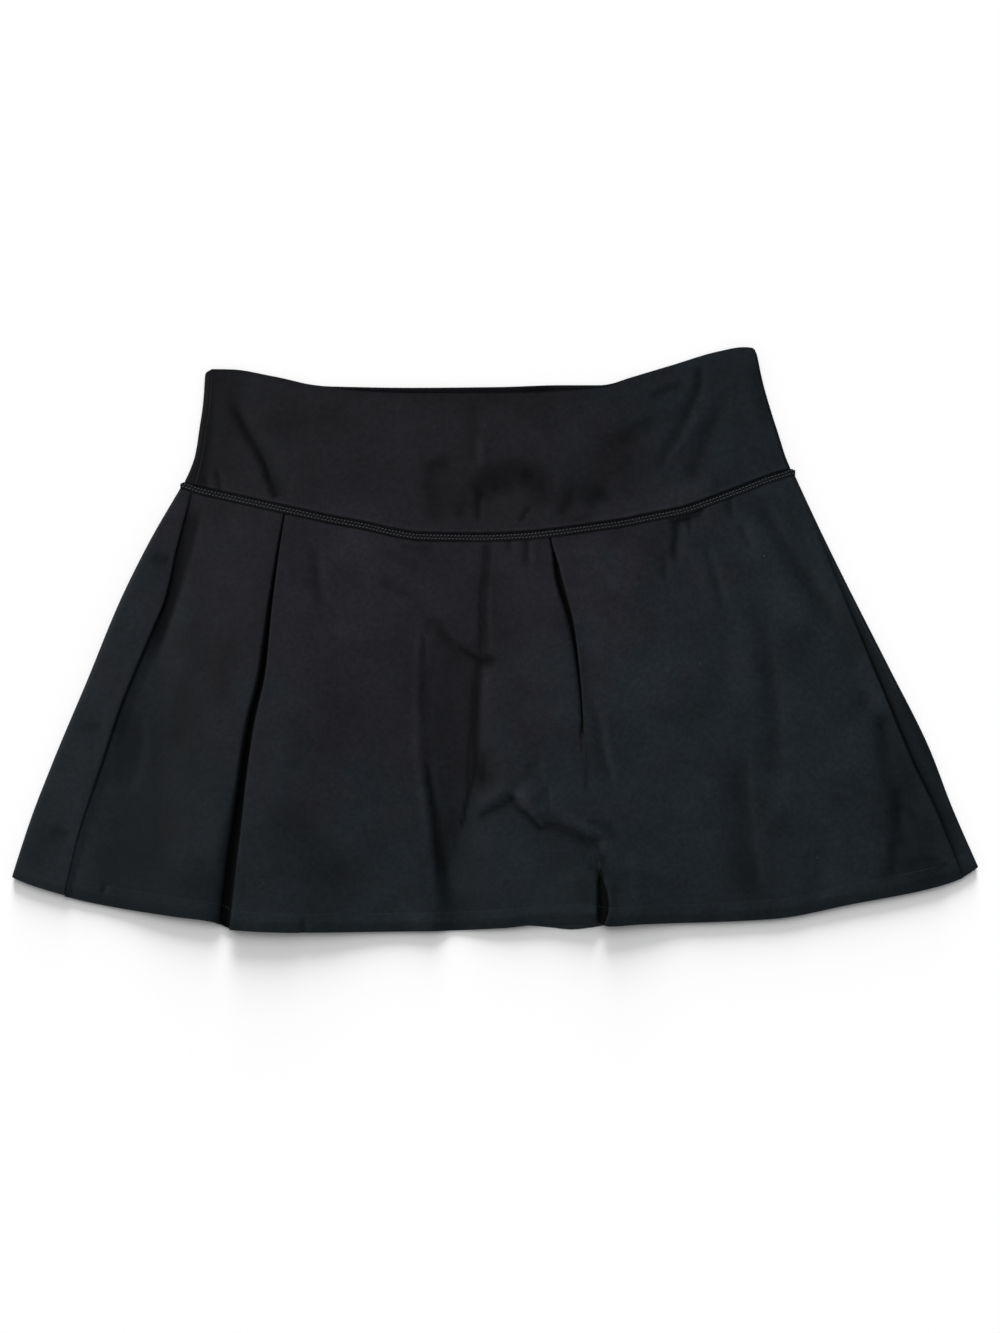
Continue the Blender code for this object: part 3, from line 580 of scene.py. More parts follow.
# Knife pleats: the cloth right of each fold lies on top. "edge" is the fold, "gap" the groove
# left of it, "tuck" the length turned under, "turn" the fold's angle in degrees, "shoulder"
# the height of the cloth left of the groove as a share of the fold's, "roll" how softly it
# goes down into the groove, and the spreads say how far the height carries on each side.
pleats = (
    {
        "v":    (0.00, 0.11, 0.24, 0.39, 0.52, 0.64, 0.75, 0.89, 1.00),
        "edge": (-0.1368, -0.1417, -0.1463, -0.1505, -0.1580, -0.1628, -0.1662, -0.1709,
                 -0.1742),
        "gap":  (0.0006, 0.0013, 0.0024, 0.0038, 0.0044, 0.0046, 0.0058, 0.0068, 0.0070),
        "tuck": (0.0100, 0.0110, 0.0120, 0.0130, 0.0140, 0.0150, 0.0160, 0.0165, 0.0170),
        "turn": (180, 180, 180, 180, 180, 180, 180, 180, 180),
        "radius": (0.00040, 0.00065, 0.0009, 0.0011, 0.0013, 0.0014, 0.0014, 0.0014, 0.0013),
        "shoulder": (0.90, 0.86, 0.80, 0.78, 0.76, 0.74, 0.72, 0.70, 0.66),
        "roll": (0.0012, 0.0014, 0.0016, 0.0020, 0.0024, 0.0026, 0.0050, 0.0100, 0.0120),
        "leftSpread":  (0.050, 0.056, 0.060, 0.064, 0.066, 0.068, 0.070, 0.072, 0.074),
        "rightSpread": (0.060, 0.070, 0.085, 0.095, 0.100, 0.105, 0.110, 0.110, 0.110),
    },
    {
        "v":    (0.00, 0.045, 0.084, 0.134, 0.185, 0.235, 0.285, 0.43, 0.53, 0.62, 0.72, 0.82,
                 0.86, 0.885, 0.915, 0.953, 1.00),
        "edge": (0.0362, 0.0386, 0.0418, 0.0450, 0.0485, 0.0518, 0.0538, 0.0576, 0.0590,
                 0.0602, 0.0622, 0.0680, 0.0706, 0.0716, 0.0741, 0.0752, 0.0722),
        "gap":  (0.0006, 0.0010, 0.0029, 0.0042, 0.0036, 0.0029, 0.0021, 0.0009, 0.0005,
                 0.0005, 0.0005, 0.0005, 0.0010, 0.0032, 0.0062, 0.0074, 0.0044),
        "tuck": (0.0090, 0.0090, 0.0090, 0.0090, 0.0080, 0.0070, 0.0060, 0.0030, 0.0008,
                 0.0004, 0.0004, 0.0004, 0.0016, 0.0040, 0.0060, 0.0070, 0.0070),
        "turn": (180, 180, 180, 180, 180, 180, 180, 180, 60, 12, 6, 6, 50, 130, 180, 180, 180),
        "radius": (0.00040, 0.0005, 0.0006, 0.0007, 0.0007, 0.0007, 0.0007, 0.0005, 0.0004,
                   0.0003, 0.0003, 0.0003, 0.0005, 0.0008, 0.0008, 0.0008, 0.0008),
        "shoulder": (0.90, 0.88, 0.86, 0.84, 0.83, 0.82, 0.82, 0.80, 0.50, 0.30, 0.20, 0.20,
                     0.40, 0.50, 0.55, 0.55, 0.55),
        "roll": (0.0012, 0.0014, 0.0016, 0.0018, 0.0026, 0.0034, 0.0030, 0.0024, 0.0030,
                 0.0040, 0.0040, 0.0040, 0.0034, 0.0030, 0.0024, 0.0024, 0.0030),
        "leftSpread":  (0.040, 0.040, 0.040, 0.040, 0.040, 0.040, 0.040, 0.036, 0.030, 0.024,
                        0.024, 0.024, 0.024, 0.028, 0.032, 0.036, 0.036),
        "rightSpread": (0.060, 0.066, 0.070, 0.075, 0.078, 0.080, 0.080, 0.070, 0.050, 0.030,
                        0.030, 0.030, 0.034, 0.040, 0.046, 0.050, 0.050),
    },
)

# Creases and soft folds of the front: path, height, half widths, and the painted shade that
# each puts into the colour (painted light where it is below 0). Upright ones run up from the
# hem and level ones towards +X, so their left is the side towards -X, or towards the waist.
frontFolds = (
    # the sawtooth left of the middle: it comes down from a ridge into the middle's crease
    fold(((-34, -200), (-35, -171), (-40, -138), (-46, -99), (-49, -66), (-51, -33), (-50, -2)),
         1.3, (30, 22), (5, 4), fade=(0, 0.15)),
    fold(((-30, -200), (-31, -165), (-30, -145), (-25, -122), (-19, -100), (-15, -72), (-14, -46),
          (-12, 2)), -2.6, (6, 30), (26, 5), dark=0.2, fade=(0, 0.08)),
    fold(((-38, -165), (-43, -138), (-46, -105), (-50, -70), (-50, -33), (-49, 6)), 0.5, 2.5,
         (3, 1.4), dark=-0.12, fade=(0.3, 0.05)),
    fold(((-46.4, -16), (-46.6, 6)), -0.5, 1.1, 1.5, dark=0.35),
    fold(((-35, -186), (-36.6, -171), (-37, -158), (-38.3, -145), (-40, -118), (-42.2, -105),
          (-44.6, -86), (-45.4, -76)), -1, 1, (12, 2.4), dark=0.6, fade=(0.36, 0.1), sharp=3),
    fold(((-22, -125), (-20, -115), (-18, -105), (-15.8, -98), (-13, -82), (-12.9, -66), (-12, -46),
          (-10.5, -26), (-9, -16), (-8, -10)), -0.35, (1.0, 4.6), (1.0, 3.7), dark=0.62,
         fade=(0.03, 0.06), sharp=4),
    fold(((-22.5, -126), (-20.3, -115), (-18.8, -105), (-17.6, -82), (-17, -66), (-16, -46),
          (-15, -24), (-13.5, -16)), -0.3, 1, 1.2, dark=0.5, fade=(0.1, 0.2)),
    fold(((-33, -164), (-34, -146), (-35.5, -132), (-37, -120)), -0.2, 2.4, 3.5, dark=0.4,
         fade=(0.35, 0.4)),
    paintedTone(((-26, -152), (-27, -138), (-27, -118), (-31, -104)), 7, 5, 0.3),
    paintedTone(((-24, -192), (-24, -160)), 12, 11, 0.22, fade=(0.5, 0.4)),
    paintedTone(((-44, -140), (-42.5, -158), (-40.5, -171), (-39.5, -184)), 5, 2.4, -0.35),
    paintedTone(((-22.4, -126), (-20, -114), (-17.8, -104), (-15.6, -94)), 1.1, 1.1, 0.55,
         fade=(0.2, 0.3)),
    paintedTone(((-1.6, -106), (-1.4, -88), (-2.4, -70)), 12, 0.9, 0.34, fade=(0.3, 0.5), sharp=4),
    fold(((-46, 5), (-41, 12), (-36, 10.5), (-29, 2), (-22, -5), (-14.5, -10), (-6, -14),
          (4, -12.5)), -1.1, 2.4, (7, 3), dark=0.25, fade=(0.1, 0.12)),
    fold(((-26, -2), (-14.5, -10), (-6, -14), (3, -13)), -1, 1.8, 2.2, dark=0.66,
         fade=(0.25, 0.12)),
    paintedTone(((-8, -14), (0, -14), (6, -12)), 2.5, 3, 0.5),
    fold(((-6.9, -15), (-6.9, 7), (-6.9, 26), (-5.6, 46), (-4.3, 66)), -0.25, 3.4, 3.4, dark=0.46,
         fade=(0.06, 0.05), sharp=6),
    fold(((-9.6, -14), (-9.6, 26), (-8.2, 46)), -0.2, 1, 1, dark=0.42, fade=(0.1, 0.3)),
    fold(((-2.4, -4), (-2.6, 40)), 0.35, 1.2, 1.6, dark=-0.1),
    fold(((22, 44), (22, 68)), -1, 2.2, 2.2, dark=0.4, fade=(0.5, 0.1)),
    fold(((11, 56), (10, 68)), -0.6, 2.2, 2.2, fade=(0.5, 0.1)),
    # beside the second pleat
    paintedTone(((60.3, -104), (59.8, -84), (58.8, -62)), 1, 1, 0.42),
    paintedTone(((58.5, -64), (56.6, -40), (53, -4), (49, 22), (40, 50)), 5, 1, 0.24),
    paintedTone(((60, -58), (58.5, -38), (56.5, -12), (54.5, 6)), 1, 5, 0.34),
    paintedTone(((75.5, -186), (77, -172), (77.5, -160), (76, -150)), 1, 5, 0.35, fade=(0, 0.4)),
    paintedTone(((71, -152), (70, -140)), 2.5, 2.5, 0.45),
    fold(((80, -100), (73, -80), (69, -59), (65, -34)), -0.8, 4, 2.4, dark=0.18),
    fold(((82, -96), (77, -75), (71, -50)), 0.4, 1.2, 5, dark=-0.08),
    fold(((60, -118), (70, -121), (82, -125)), -0.8, 3, 3, dark=0.25),
    # the crumple above the hem: a flap with its point on the left, a crease under both sides
    fold(((-13, -119), (-5, -113), (1, -110.5), (7, -107.5), (12, -103)), -1.9, 1.5, 5, dark=0.6,
         fade=(0.35, 0.08)),
    fold(((11, -101.5), (15.5, -110), (21.5, -114.5), (26, -119), (31, -124), (37, -123)), -1.5,
         1.3, 1.7, dark=0.84, fade=(0.05, 0.2)),
    fold(((29, -121), (37, -121), (48, -124), (54, -126.5), (61, -130), (73, -133)), -2.2, 1.8, 5,
         dark=0.56, fade=(0.2, 0.1)),
    fold(((54, -129), (60, -131.5), (70, -133.2)), -0.8, 0.9, 1.1, dark=0.5),
    fold(((-9, -110), (2, -102.5), (8, -98), (16, -95)), 1.2, 4, 2, dark=-0.15, fade=(0.2, 0.3)),
    fold(((15, -96), (20, -104), (30, -113), (41, -112), (55, -119), (68, -126), (80, -130)), 1.9,
         7, 3, dark=-0.1, fade=(0.1, 0.15)),
    fold(((18, -96), (28, -106)), 0.8, 8, 8, dark=-0.28),
    fold(((35, -94), (36, -116)), -0.5, 1.2, 1.4, dark=0.25),
    fold(((16, -91), (24, -90), (34, -92)), -0.7, 2.5, 1.5, dark=0.2),
    fold(((20, -84), (33, -82)), -0.7, 5, 4, dark=0.15),
    fold(((-7, -102), (-6, -70)), -0.6, 3, 4),
    fold(((93, -178), (92, -136)), 0.7, 2, 6),
    fold(((62, -152), (68, -147), (78, -141)), -0.8, 3, 3, dark=0.15),
    # the pinch at the waist seam and the folds that run down from it
    fold(((112, 78.5), (119, 78.6), (126, 80.5), (134, 84), (141, 88.5)), -2, 1.6, 2.6, dark=0.8),
    fold(((117, 50), (119, 66), (120, 78)), -2, 1.6, 5, dark=0.5, fade=(0.3, 0.05)),
    fold(((128.6, 72), (128.6, 81)), -1.2, 1.6, 2, dark=0.5, fade=(0.4, 0.1)),
    fold(((113, 38), (112, 58)), -1, 3, 3),
    fold(((152, 19), (146, 43), (138, 65)), -0.9, 4, 2.5),
    fold(((157, 78), (155, 96)), -0.9, 3, 2.5),
    fold(((170, 59), (161, 78)), -0.9, 4, 3),
    fold(((228, 8), (213, 31), (196, 57), (183, 78), (172, 94)), -1.5, (9, 5), (6, 4), dark=0.22,
         fade=(0.2, 0.15)),
    # long soft folds of the right half
    fold(((191, -106), (187, -72), (183, -33), (179, 0), (174, 36)), -1.2, 8, 6, dark=0.2),
    fold(((173, -180), (172, -151), (168, -125), (166, -99), (165, -62)), -1.2, 12, 4, dark=0.2),
    fold(((176, -133), (185, -115), (202, -98)), 0.7, 4, 7),
    fold(((255, -165), (262, -150), (266, -125), (268, -106), (259, -85), (257, -60), (260, -46)),
         -1.6, 6, 8, dark=0.34, fade=(0.15, 0.1)),
    fold(((262, -116), (272, -110), (281, -122)), -0.6, 2.5, 2.5, dark=0.3),
    fold(((258, -142), (268, -132), (279, -134)), -0.6, 2.5, 2.5, dark=0.25),
    fold(((268, -152), (284, -144), (297, -147)), -0.6, 2.5, 3, dark=0.35),
    fold(((254, -60), (258, -49)), -0.8, 3.5, 3.5, dark=0.3),
    fold(((267, -125), (266, -98)), -0.8, 4, 3, dark=0.25),
    fold(((241, -46), (247, -33)), -0.8, 6, 6),
    fold(((262, -60), (280, -104), (296, -140)), -0.8, 9, 4),
    fold(((210, -185), (214, -150), (222, -120)), -0.7, 10, 6),
    fold(((293, -148.5), (301, -146.5)), -0.6, 0.9, 1.3, dark=0.45),
    # the left part, with a wedge of painted shade beside its seam
    fold(((-229, -22), (-221, 3), (-214.4, 22), (-208.8, 38), (-203.6, 57), (-199, 76),
          (-196.4, 92)), -0.4, 5, (5, 5), dark=0.64, fade=(0.28, 0.14), sharp=5),
    fold(((-249, -103), (-240, -86), (-236, -68), (-238, -44)), -0.7, 11, 7, dark=0.24, sharp=4),
    fold(((-207, -78), (-205, -45), (-198, -20)), -0.6, 9, 8, dark=0.16),
    fold(((-111, 16), (-116, 40), (-118, 66)), -0.8, 4, 4),
    fold(((-74, 63), (-61, 54), (-44, 48)), -0.8, 2.5, 3),
    fold(((-77, 44), (-62, 34), (-40, 25)), -0.8, 3, 3.5),
    fold(((-153, -113), (-128, -119), (-108, -138), (-72, -171)), -1.5, 9, 14, dark=0.2),
    fold(((-233, 30), (-214, 74)), -0.7, 5, 5),
    fold(((-126, -200), (-125, -178)), -1, 2, 2.5, dark=0.35, fade=(0, 0.4)),
    fold(((-63, 62), (-50, 60), (-36, 60)), -0.7, 2, 3),
    fold(((-258, -168), (-256, -160)), -0.7, 2, 2),
    # the hem stands up a little along its middle and right
    fold(((-64, -174), (20, -172), (120, -170), (220, -158), (304, -142)), 2.0, 26, 30,
         fade=(0.1, 0.04)),
)

# Painted light and shade in wide soft patches, standing in for how the knit's sheen catches
# the light: path, half widths and how dark.
frontPaintedTones = (
    paintedTone(((-266, -152), (-238, -122), (-216, -62), (-206, -14)), 24, 26, 0.32),
    paintedTone(((-276, -158), (-240, -154), (-205, -160), (-172, -172)), 22, 22, 0.32),
    paintedTone(((-222, -170), (-212, -120), (-203, -60), (-196, 0), (-203, 44)), 13, 13, 0.26),
    paintedTone(((-182, -52), (-172, 14)), 10, 9, 0.32),
    paintedTone(((-95, 88), (-92, 60), (-92, -12)), 24, 20, -0.32),
    paintedTone(((-130, 30), (-128, -60)), 12, 12, -0.1),
    paintedTone(((54, 72), (60, 52), (78, 30), (88, -72)), 20, 26, -0.30, fade=(0.08, 0.25)),
    paintedTone(((110, 42), (117, 16), (106, -54)), 14, 12, -0.2),
    paintedTone(((160, 90), (176, 56), (204, 4)), 14, 14, -0.32, fade=(0.25, 0.15)),
    paintedTone(((140, 64), (146, 12)), 12, 12, -0.2),
    paintedTone(((226, 26), (242, -16)), 8, 8, 0.22),
    paintedTone(((254, -142), (276, -152), (298, -154)), 14, 12, 0.32),
    paintedTone(((164, 28), (160, -48)), 14, 10, -0.24),
    paintedTone(((198, 0), (202, -60), (203, -125)), 9, 14, -0.2),
    paintedTone(((256, -90), (276, -128), (292, -146)), 20, 16, 0.32),
    paintedTone(((257, -40), (266, -72), (280, -104)), 8, 9, 0.28),
    paintedTone(((0, 50), (6, 0)), 14, 14, 0.1),
    paintedTone(((26, 74), (28, 40)), 9, 8, 0.18),
    paintedTone(((-34, 18), (-30, -4)), 9, 9, 0.3),
    paintedTone(((-34, -112), (-37, -80), (-38, -30)), 7, 8, 0.16),
    paintedTone(((-31, -116), (-30, -132)), 6, 6, 0.2),
    paintedTone(((-9, -94), (-4, -84)), 6, 7, 0.3),
    paintedTone(((56, -150), (58, -178)), 9, 5, 0.22),
    paintedTone(((142, -128), (164, -150), (180, -186)), 15, 14, 0.22, fade=(0.25, 0.1)),
    paintedTone(((-186, 87), (-150, 83)), 8, 8, 0.18),
    paintedTone(((-121, 36), (-121, 16)), 13, 13, -0.18),
    paintedTone(((52, 34), (60, 18)), 12, 12, -0.16),
    paintedTone(((86, 66), (84, 28)), 13, 13, -0.16),
    paintedTone(((-3, -4), (-3, -22)), 9, 9, 0.2),
    paintedTone(((-4, -66), (-4, -96)), 8, 9, 0.22),
    paintedTone(((56, 12), (57, 0)), 10, 10, 0.14),
    paintedTone(((-240, -28), (-240, -96)), 14, 14, 0.18),
    paintedTone(((-210, -108), (-208, -136)), 13, 13, 0.18),
    paintedTone(((-181, -164), (-121, -152), (-92, -168)), 10, 10, 0.16),
    paintedTone(((234, -50), (236, -92)), 12, 10, -0.18),
    paintedTone(((264, -50), (266, -74)), 10, 10, 0.14),
    paintedTone(((145, -88), (116, -112)), 12, 12, -0.18),
    paintedTone(((175, -108), (176, -134)), 11, 11, 0.15),
    paintedTone(((204, -126), (206, -140)), 12, 12, -0.16),
    paintedTone(((292, -146), (294, -158)), 12, 12, 0.18),
)


def overShorts(x, v):  # 1 where the inner shorts lie under the front, 0 clear of them
    under = skirt["shorts"]
    left = ease((x - under["left"]) / under["soft"])
    right = ease((under["right"] - x) / under["soft"])
    nearSeam = ease((under["seam"] - v) / under["seam"])
    return np.maximum(left * right, nearSeam) * ease((under["hem"] - v) / under["hemSoft"])


# Height of the front without pleats and folds: over the shorts or over the back alone, and
# down beside the side seams.
def plainFront(x, v):
    height = skirt["overBack"] + (skirt["overShorts"] - skirt["overBack"]) * overShorts(x, v)
    sides = sidesOf(garment["skirtSides"], "v", v)
    for off, side in ((x - sides["leftSeam"], "left"), (sides["rightSeam"] - x, "right")):
        atSeam = through(sideHeights, "v", side + "Front", v)
        near = 1 - ease(off / through(sideHeights, "v", side + "Run", v))
        height = height + (atSeam - height) * near
    return height


# A pleat's sizes in the rows v: it rises by two arcs of its radius through its turn and by
# what its straight run climbs between them, and starts as far back as these reach.
def pleatSizes(pleat, v):
    size = {key: through(pleat, "v", key, v) for key in pleat if key != "v"}
    angle = np.radians(size["turn"])
    size["base"] = plainFront(size["edge"], v)
    size["rise"] = 2 * size["radius"] * (1 - np.cos(angle)) + size["tuck"] * np.sin(angle)
    size["end"] = size["edge"] + size["radius"] * np.sin(angle / 2)
    size["start"] = (size["end"] - 2 * size["radius"] * np.sin(angle)
                     - size["tuck"] * np.cos(angle))
    size["drop"] = size["rise"] * size["shoulder"]
    size["groove"] = np.minimum(size["edge"] - size["gap"], size["start"] - skirt["tuckClear"])
    return size


# Height of the uppermost layer: the plain front, raised on both sides of each pleat.
def frontTop(x, v, sizes):
    height = plainFront(x, v)
    for size in sizes:
        past = (x - size["start"] - size["radius"]) / size["rightSpread"]
        before = (size["groove"] - size["roll"] - x) / size["leftSpread"]
        height = height + np.where(x >= size["edge"] - skirt["foldReach"],
                                   size["rise"] * (1 - ease(past)),
                                   size["drop"] * (1 - ease(before)))
    return height


# An S-bend: an arc of radius r through the turn, a straight run, and an arc back.
def sBend(size, steps):
    r, turn = size["radius"], np.radians(size["turn"])
    arc = np.linspace(0.0, 1.0, steps)[None, :]
    firstX = size["start"] + r * np.sin(turn * arc)
    firstZ = size["base"] + r * (1 - np.cos(turn * arc))
    lastX, lastZ = firstX[:, -1:], firstZ[:, -1:]
    share = np.linspace(0.0, 1.0, skirt["runColumns"] + 2)[None, 1:-1]
    runX = lastX + size["tuck"] * np.cos(turn) * share
    runZ = lastZ + size["tuck"] * np.sin(turn) * share
    endX, endZ = lastX + size["tuck"] * np.cos(turn), lastZ + size["tuck"] * np.sin(turn)
    back = turn * arc[:, ::-1]
    backX = endX + r * (np.sin(turn) - np.sin(back))
    backZ = endZ + r * (np.cos(back) - np.cos(turn))
    return np.hstack([firstX, runX, backX]), np.hstack([firstZ, runZ, backZ])


# The front's sections in the rows v: x and z of its middle, and the painted shade in its colour.
# It sweeps to each side seam by a cubic. Left of a pleat it comes down a quarter ellipse into
# the groove, then runs under and back up by an S-bend.
def frontSections(v):
    v = np.asarray(v, float)[:, None]
    sides = sidesOf(garment["skirtSides"], "v", v)
    first, last = sides["leftSeam"] + sides["half"], sides["rightSeam"] - sides["half"]
    last = last + through(sideHeights, "v", "rightLap", v)
    sizes = [pleatSizes(pleat, v) for pleat in pleats]
    xs, zs, paintedShades = [], [], []

    def add(x, z, paintedShade):
        xs.append(x)
        zs.append(z)
        paintedShades.append(np.broadcast_to(paintedShade, x.shape))

    def addSweep(side, x, run):
        top, seam = frontTop(x, v, sizes), through(sideHeights, "v", side + "Seam", v)
        # painted shade on the step down to the seam
        wall = ease(np.abs(seam - top) / skirt["wallHigh"])
        add(x, top + (seam - top) * (1 - run) ** 3,
            besideSeams(x, v) * (1 - skirt["wallDark"][side] * wall * (1 - run)))

    run = np.linspace(0.0, 1.0, skirt["seamColumns"])[None, :] ** 1.5
    addSweep("left", first + skirt["seamRise"] * run, run)
    clear = 1.2 * skirt["seamRise"]
    begin = first + clear
    for size, count in zip(sizes, skirt["columns"]):
        crest = size["groove"] - size["roll"]
        share = np.linspace(0.0, 1.0, count)[None, :]
        x = begin + (crest - begin) * share
        add(x, frontTop(x, v, sizes), besideSeams(x, v))
        top = zs[-1][:, -1:]
        angle = np.linspace(0.5, 0.0, skirt["rollColumns"] + 1)[None, 1:] * np.pi
        x = size["groove"] - size["roll"] * (1 - np.cos(angle))
        # painted shade in an open groove and under its fold
        opened = ease((size["rise"] - skirt["openFrom"]) / skirt["openRun"])
        dark = skirt["grooveDark"] * opened
        add(x, size["base"] + (top - size["base"]) * np.sin(angle),
            1 - dark * (1 - np.sin(angle)) ** 1.5)
        share = np.linspace(0.0, 1.0, skirt["runColumns"] + 2)[None, 1:-1]
        x = size["groove"] + (size["start"] - size["groove"]) * share
        add(x, np.broadcast_to(size["base"], x.shape), 1 - dark)
        x, z = sBend(size, skirt["bendColumns"])
        up = np.linspace(0.0, 1.0, x.shape[1])[None, :]
        add(x, z, 1 - dark * (1 - ease((up - skirt["mouth"][0]) / skirt["mouth"][1])))
        begin = size["end"]
    share = np.linspace(0.0, 1.0, skirt["columns"][-1] + 1)[None, 1:]
    x = begin + (last - clear - begin) * share
    add(x, frontTop(x, v, sizes), besideSeams(x, v))
    run = run[:, ::-1]
    addSweep("right", last - skirt["seamRise"] * run, run)
    return np.hstack(xs), np.hstack(zs), np.hstack(paintedShades)


# Painted shade on the front beside its side seams: the colour loses "dark" times
# nearness ^ 1.5.
def besideSeams(x, v):
    sides = sidesOf(garment["skirtSides"], "v", v)
    kept = np.ones_like(x)
    for off, side in ((x - sides["leftSeam"], "left"), (sides["rightSeam"] - x, "right")):
        near = 1 - ease(off / through(sideHeights, "v", side + "Run", v))
        kept = kept * (1 - through(sideHeights, "v", side + "Dark", v) * near ** 1.5)
    return kept


# What the front's cloth does on its sections: soft folds, waves, and what the sewing does,
# with their painted shade and painted light.
# "below" is the distance from the waist seam and "above" the distance from the hem's edge.
def frontRelief(x, y, v):
    relief, kept = foldShape(x, y, frontFolds)
    kept = kept * foldShape(x, y, frontPaintedTones)[1]
    below, above = v * garment["skirtLength"], (1 - v) * garment["skirtLength"]
    gathers, broad, upright, puckers, turning = (
        skirt[name] for name in ("gathers", "broad", "upright", "puckers", "turning"))
    gathered = slowWaves(x, 0 * y, gathers["long"]) * np.exp(-(below / gathers["run"]) ** 2)
    relief += (gathers["high"] * gathered
               + broad["high"] * slowWaves(x, y, broad["long"], broad["turn"]))
    fanned = x - upright["fan"] * x * (y / upright["at"])
    relief += upright["high"] * slowWaves(fanned, upright["slow"] * y, upright["long"],
                                          upright["turn"])
    relief += (puckers["high"] * slowWaves(x, 0 * y, puckers["long"], puckers["turn"])
               * np.exp(-(above / puckers["run"]) ** 2))
    for line, deep in zip(skirt["hemStitch"], skirt["sunk"]):
        relief -= deep * np.exp(-((above - line) / skirt["sunkWide"]) ** 2)
    turned = np.exp(-((above - turning["above"]) / turning["wide"]) ** 4)
    turned = turned * ease((x - turning["start"]) / turning["run"]) * (
        1 + slowWaves(x, 0 * y, turning["long"], turning["turn"]))
    # a painted highlight on the turned cloth between the hem's rows
    kept = kept * (1 + turning["light"] * turned)
    # the hem's edge bends down and gets painted shade
    edge = np.clip(1 - above / skirt["edgeRun"], 0, 1)
    return (relief - skirt["edgeDrop"] * edge ** 1.5,
            kept * (1 - skirt["edgeDark"] * ease(edge * 4)))


# The front's middle surface and painted shade in the rows v: its sections and what the cloth
# does on them, kept above the layers below it by a soft limit, log(1 + exp(depth)).
def frontGrid(v):
    x, z, paintedShade = frontSections(v)
    rows = np.asarray(v, float)[:, None]
    y = skirtY(x, rows, garment["frontHem"])
    relief, kept = frontRelief(x, y, rows)
    under = skirt["overLayer"] + skirt["overLegs"] * overShorts(x, rows)
    over = np.minimum(z, plainFront(x, rows)) + relief - under
    lift = np.logaddexp(0.0, over / skirt["layerSoft"]) * skirt["layerSoft"] - over
    return np.stack([x, y, z + relief + lift], axis=2), paintedShade * kept


# Rows down a skirt panel: even to the hem's stitches, then close together to the edge.
def skirtRows(plain, close):
    turn = 1 - skirt["hemDeep"] / garment["skirtLength"]
    return np.concatenate([np.linspace(0.0, turn, plain, endpoint=False),
                           np.linspace(turn, 1.0, close + 1)])


# A panel with its hem turned under, on the side that faces in.
def skirtPanel(name, gridOf, sizes, inner):
    grid, paintedShade = gridOf(skirtRows(sizes["plainRows"], sizes["hemRows"]))
    grid = turnUnder(grid, inner, skirt["hemApart"], sizes["hemRows"])
    return clothSheet(name, grid, skirt["thick"], skirtJersey, paintedShade)


skirtFront = skirtPanel("skirtFront", frontGrid, skirt, -1)
print("skirt front made")


# The skirt's back, wrapped round both sides.
back = {
    "mid": 0.25 * mm, "leftRun": 1.5 * mm, "rightRun": 9 * mm,
    "across": 120, "strip": 16, "turn": 13, "plainRows": 64, "hemRows": 10,
    "waves": {"high": 0.12 * mm, "long": 60 * mm, "turn": 0.7},
    "shownFrom": 2 * mm, "shownRun": 2 * mm,     # above this height it is a strip that shows
    "darkFrom": 1.5 * mm, "darkSharp": 0.8,      # the right strip's painted shadow along its seam
    "hemSunk": 0.2 * mm, "edgeDrop": 0.6 * mm, "edgeDark": 0.16,
}
# A fold with painted shade across each strip, and soft patches of painted shade and light
# along them.
stripFolds = (
    fold(((-225, 57), (-219, 53), (-211, 53)), -0.5, 3, 4, dark=0.6),
    fold(((-271, -54), (-265, -57), (-257, -57)), -0.5, 3, 3.5, dark=0.42),
    fold(((-292, -123), (-286, -126), (-279, -131)), -0.5, 3, 3.5, dark=0.45),
    paintedTone(((-306, -156), (-300, -138), (-290, -118)), 11, 11, 0.3),
    paintedTone(((-207, 98), (-214, 78)), 7, 7, -0.2),
    paintedTone(((266, -78), (286, -112), (306, -146)), 10, 10, 0.34),
)


# A section that goes from the left seam over to the side, round it by a half circle, flat
# along the table, round the right side and over to the right seam. Each strip on top rises
# from its seam to its height within its run, and drops out to its fold.
def wrappedSections(sides, low, strips, counts):
    xs, zs = {}, {}
    for side, way in (("left", -1), ("right", 1)):
        seam, high, run, drop = strips[side]
        radius = (high - drop - low) / 2
        edge = sides[side + "Seam"] + way * sides["half"]
        centre = sides[side] - way * (low + radius)
        share = np.linspace(0.0, 1.0, counts["strip"] + 1)[None, :-1] ** 1.4
        out = share * np.abs(centre - edge)
        arc = np.radians(np.linspace(90, 270, counts["turn"]))[None, :]
        xs[side] = np.hstack([edge + way * out, centre - way * radius * np.cos(arc)])
        zs[side] = np.hstack([high + (seam - high) * (1 - ease(out / run)) - drop * share ** 2,
                              low + radius * (1 + np.sin(arc))])
    flat = np.linspace(0.0, 1.0, counts["across"] + 2)[None, 1:-1]
    across = xs["left"][:, -1:] + (xs["right"][:, -1:] - xs["left"][:, -1:]) * flat
    x = np.hstack([xs["left"], across, xs["right"][:, ::-1]])
    return x, np.hstack([zs["left"], low * np.ones_like(across), zs["right"][:, ::-1]])


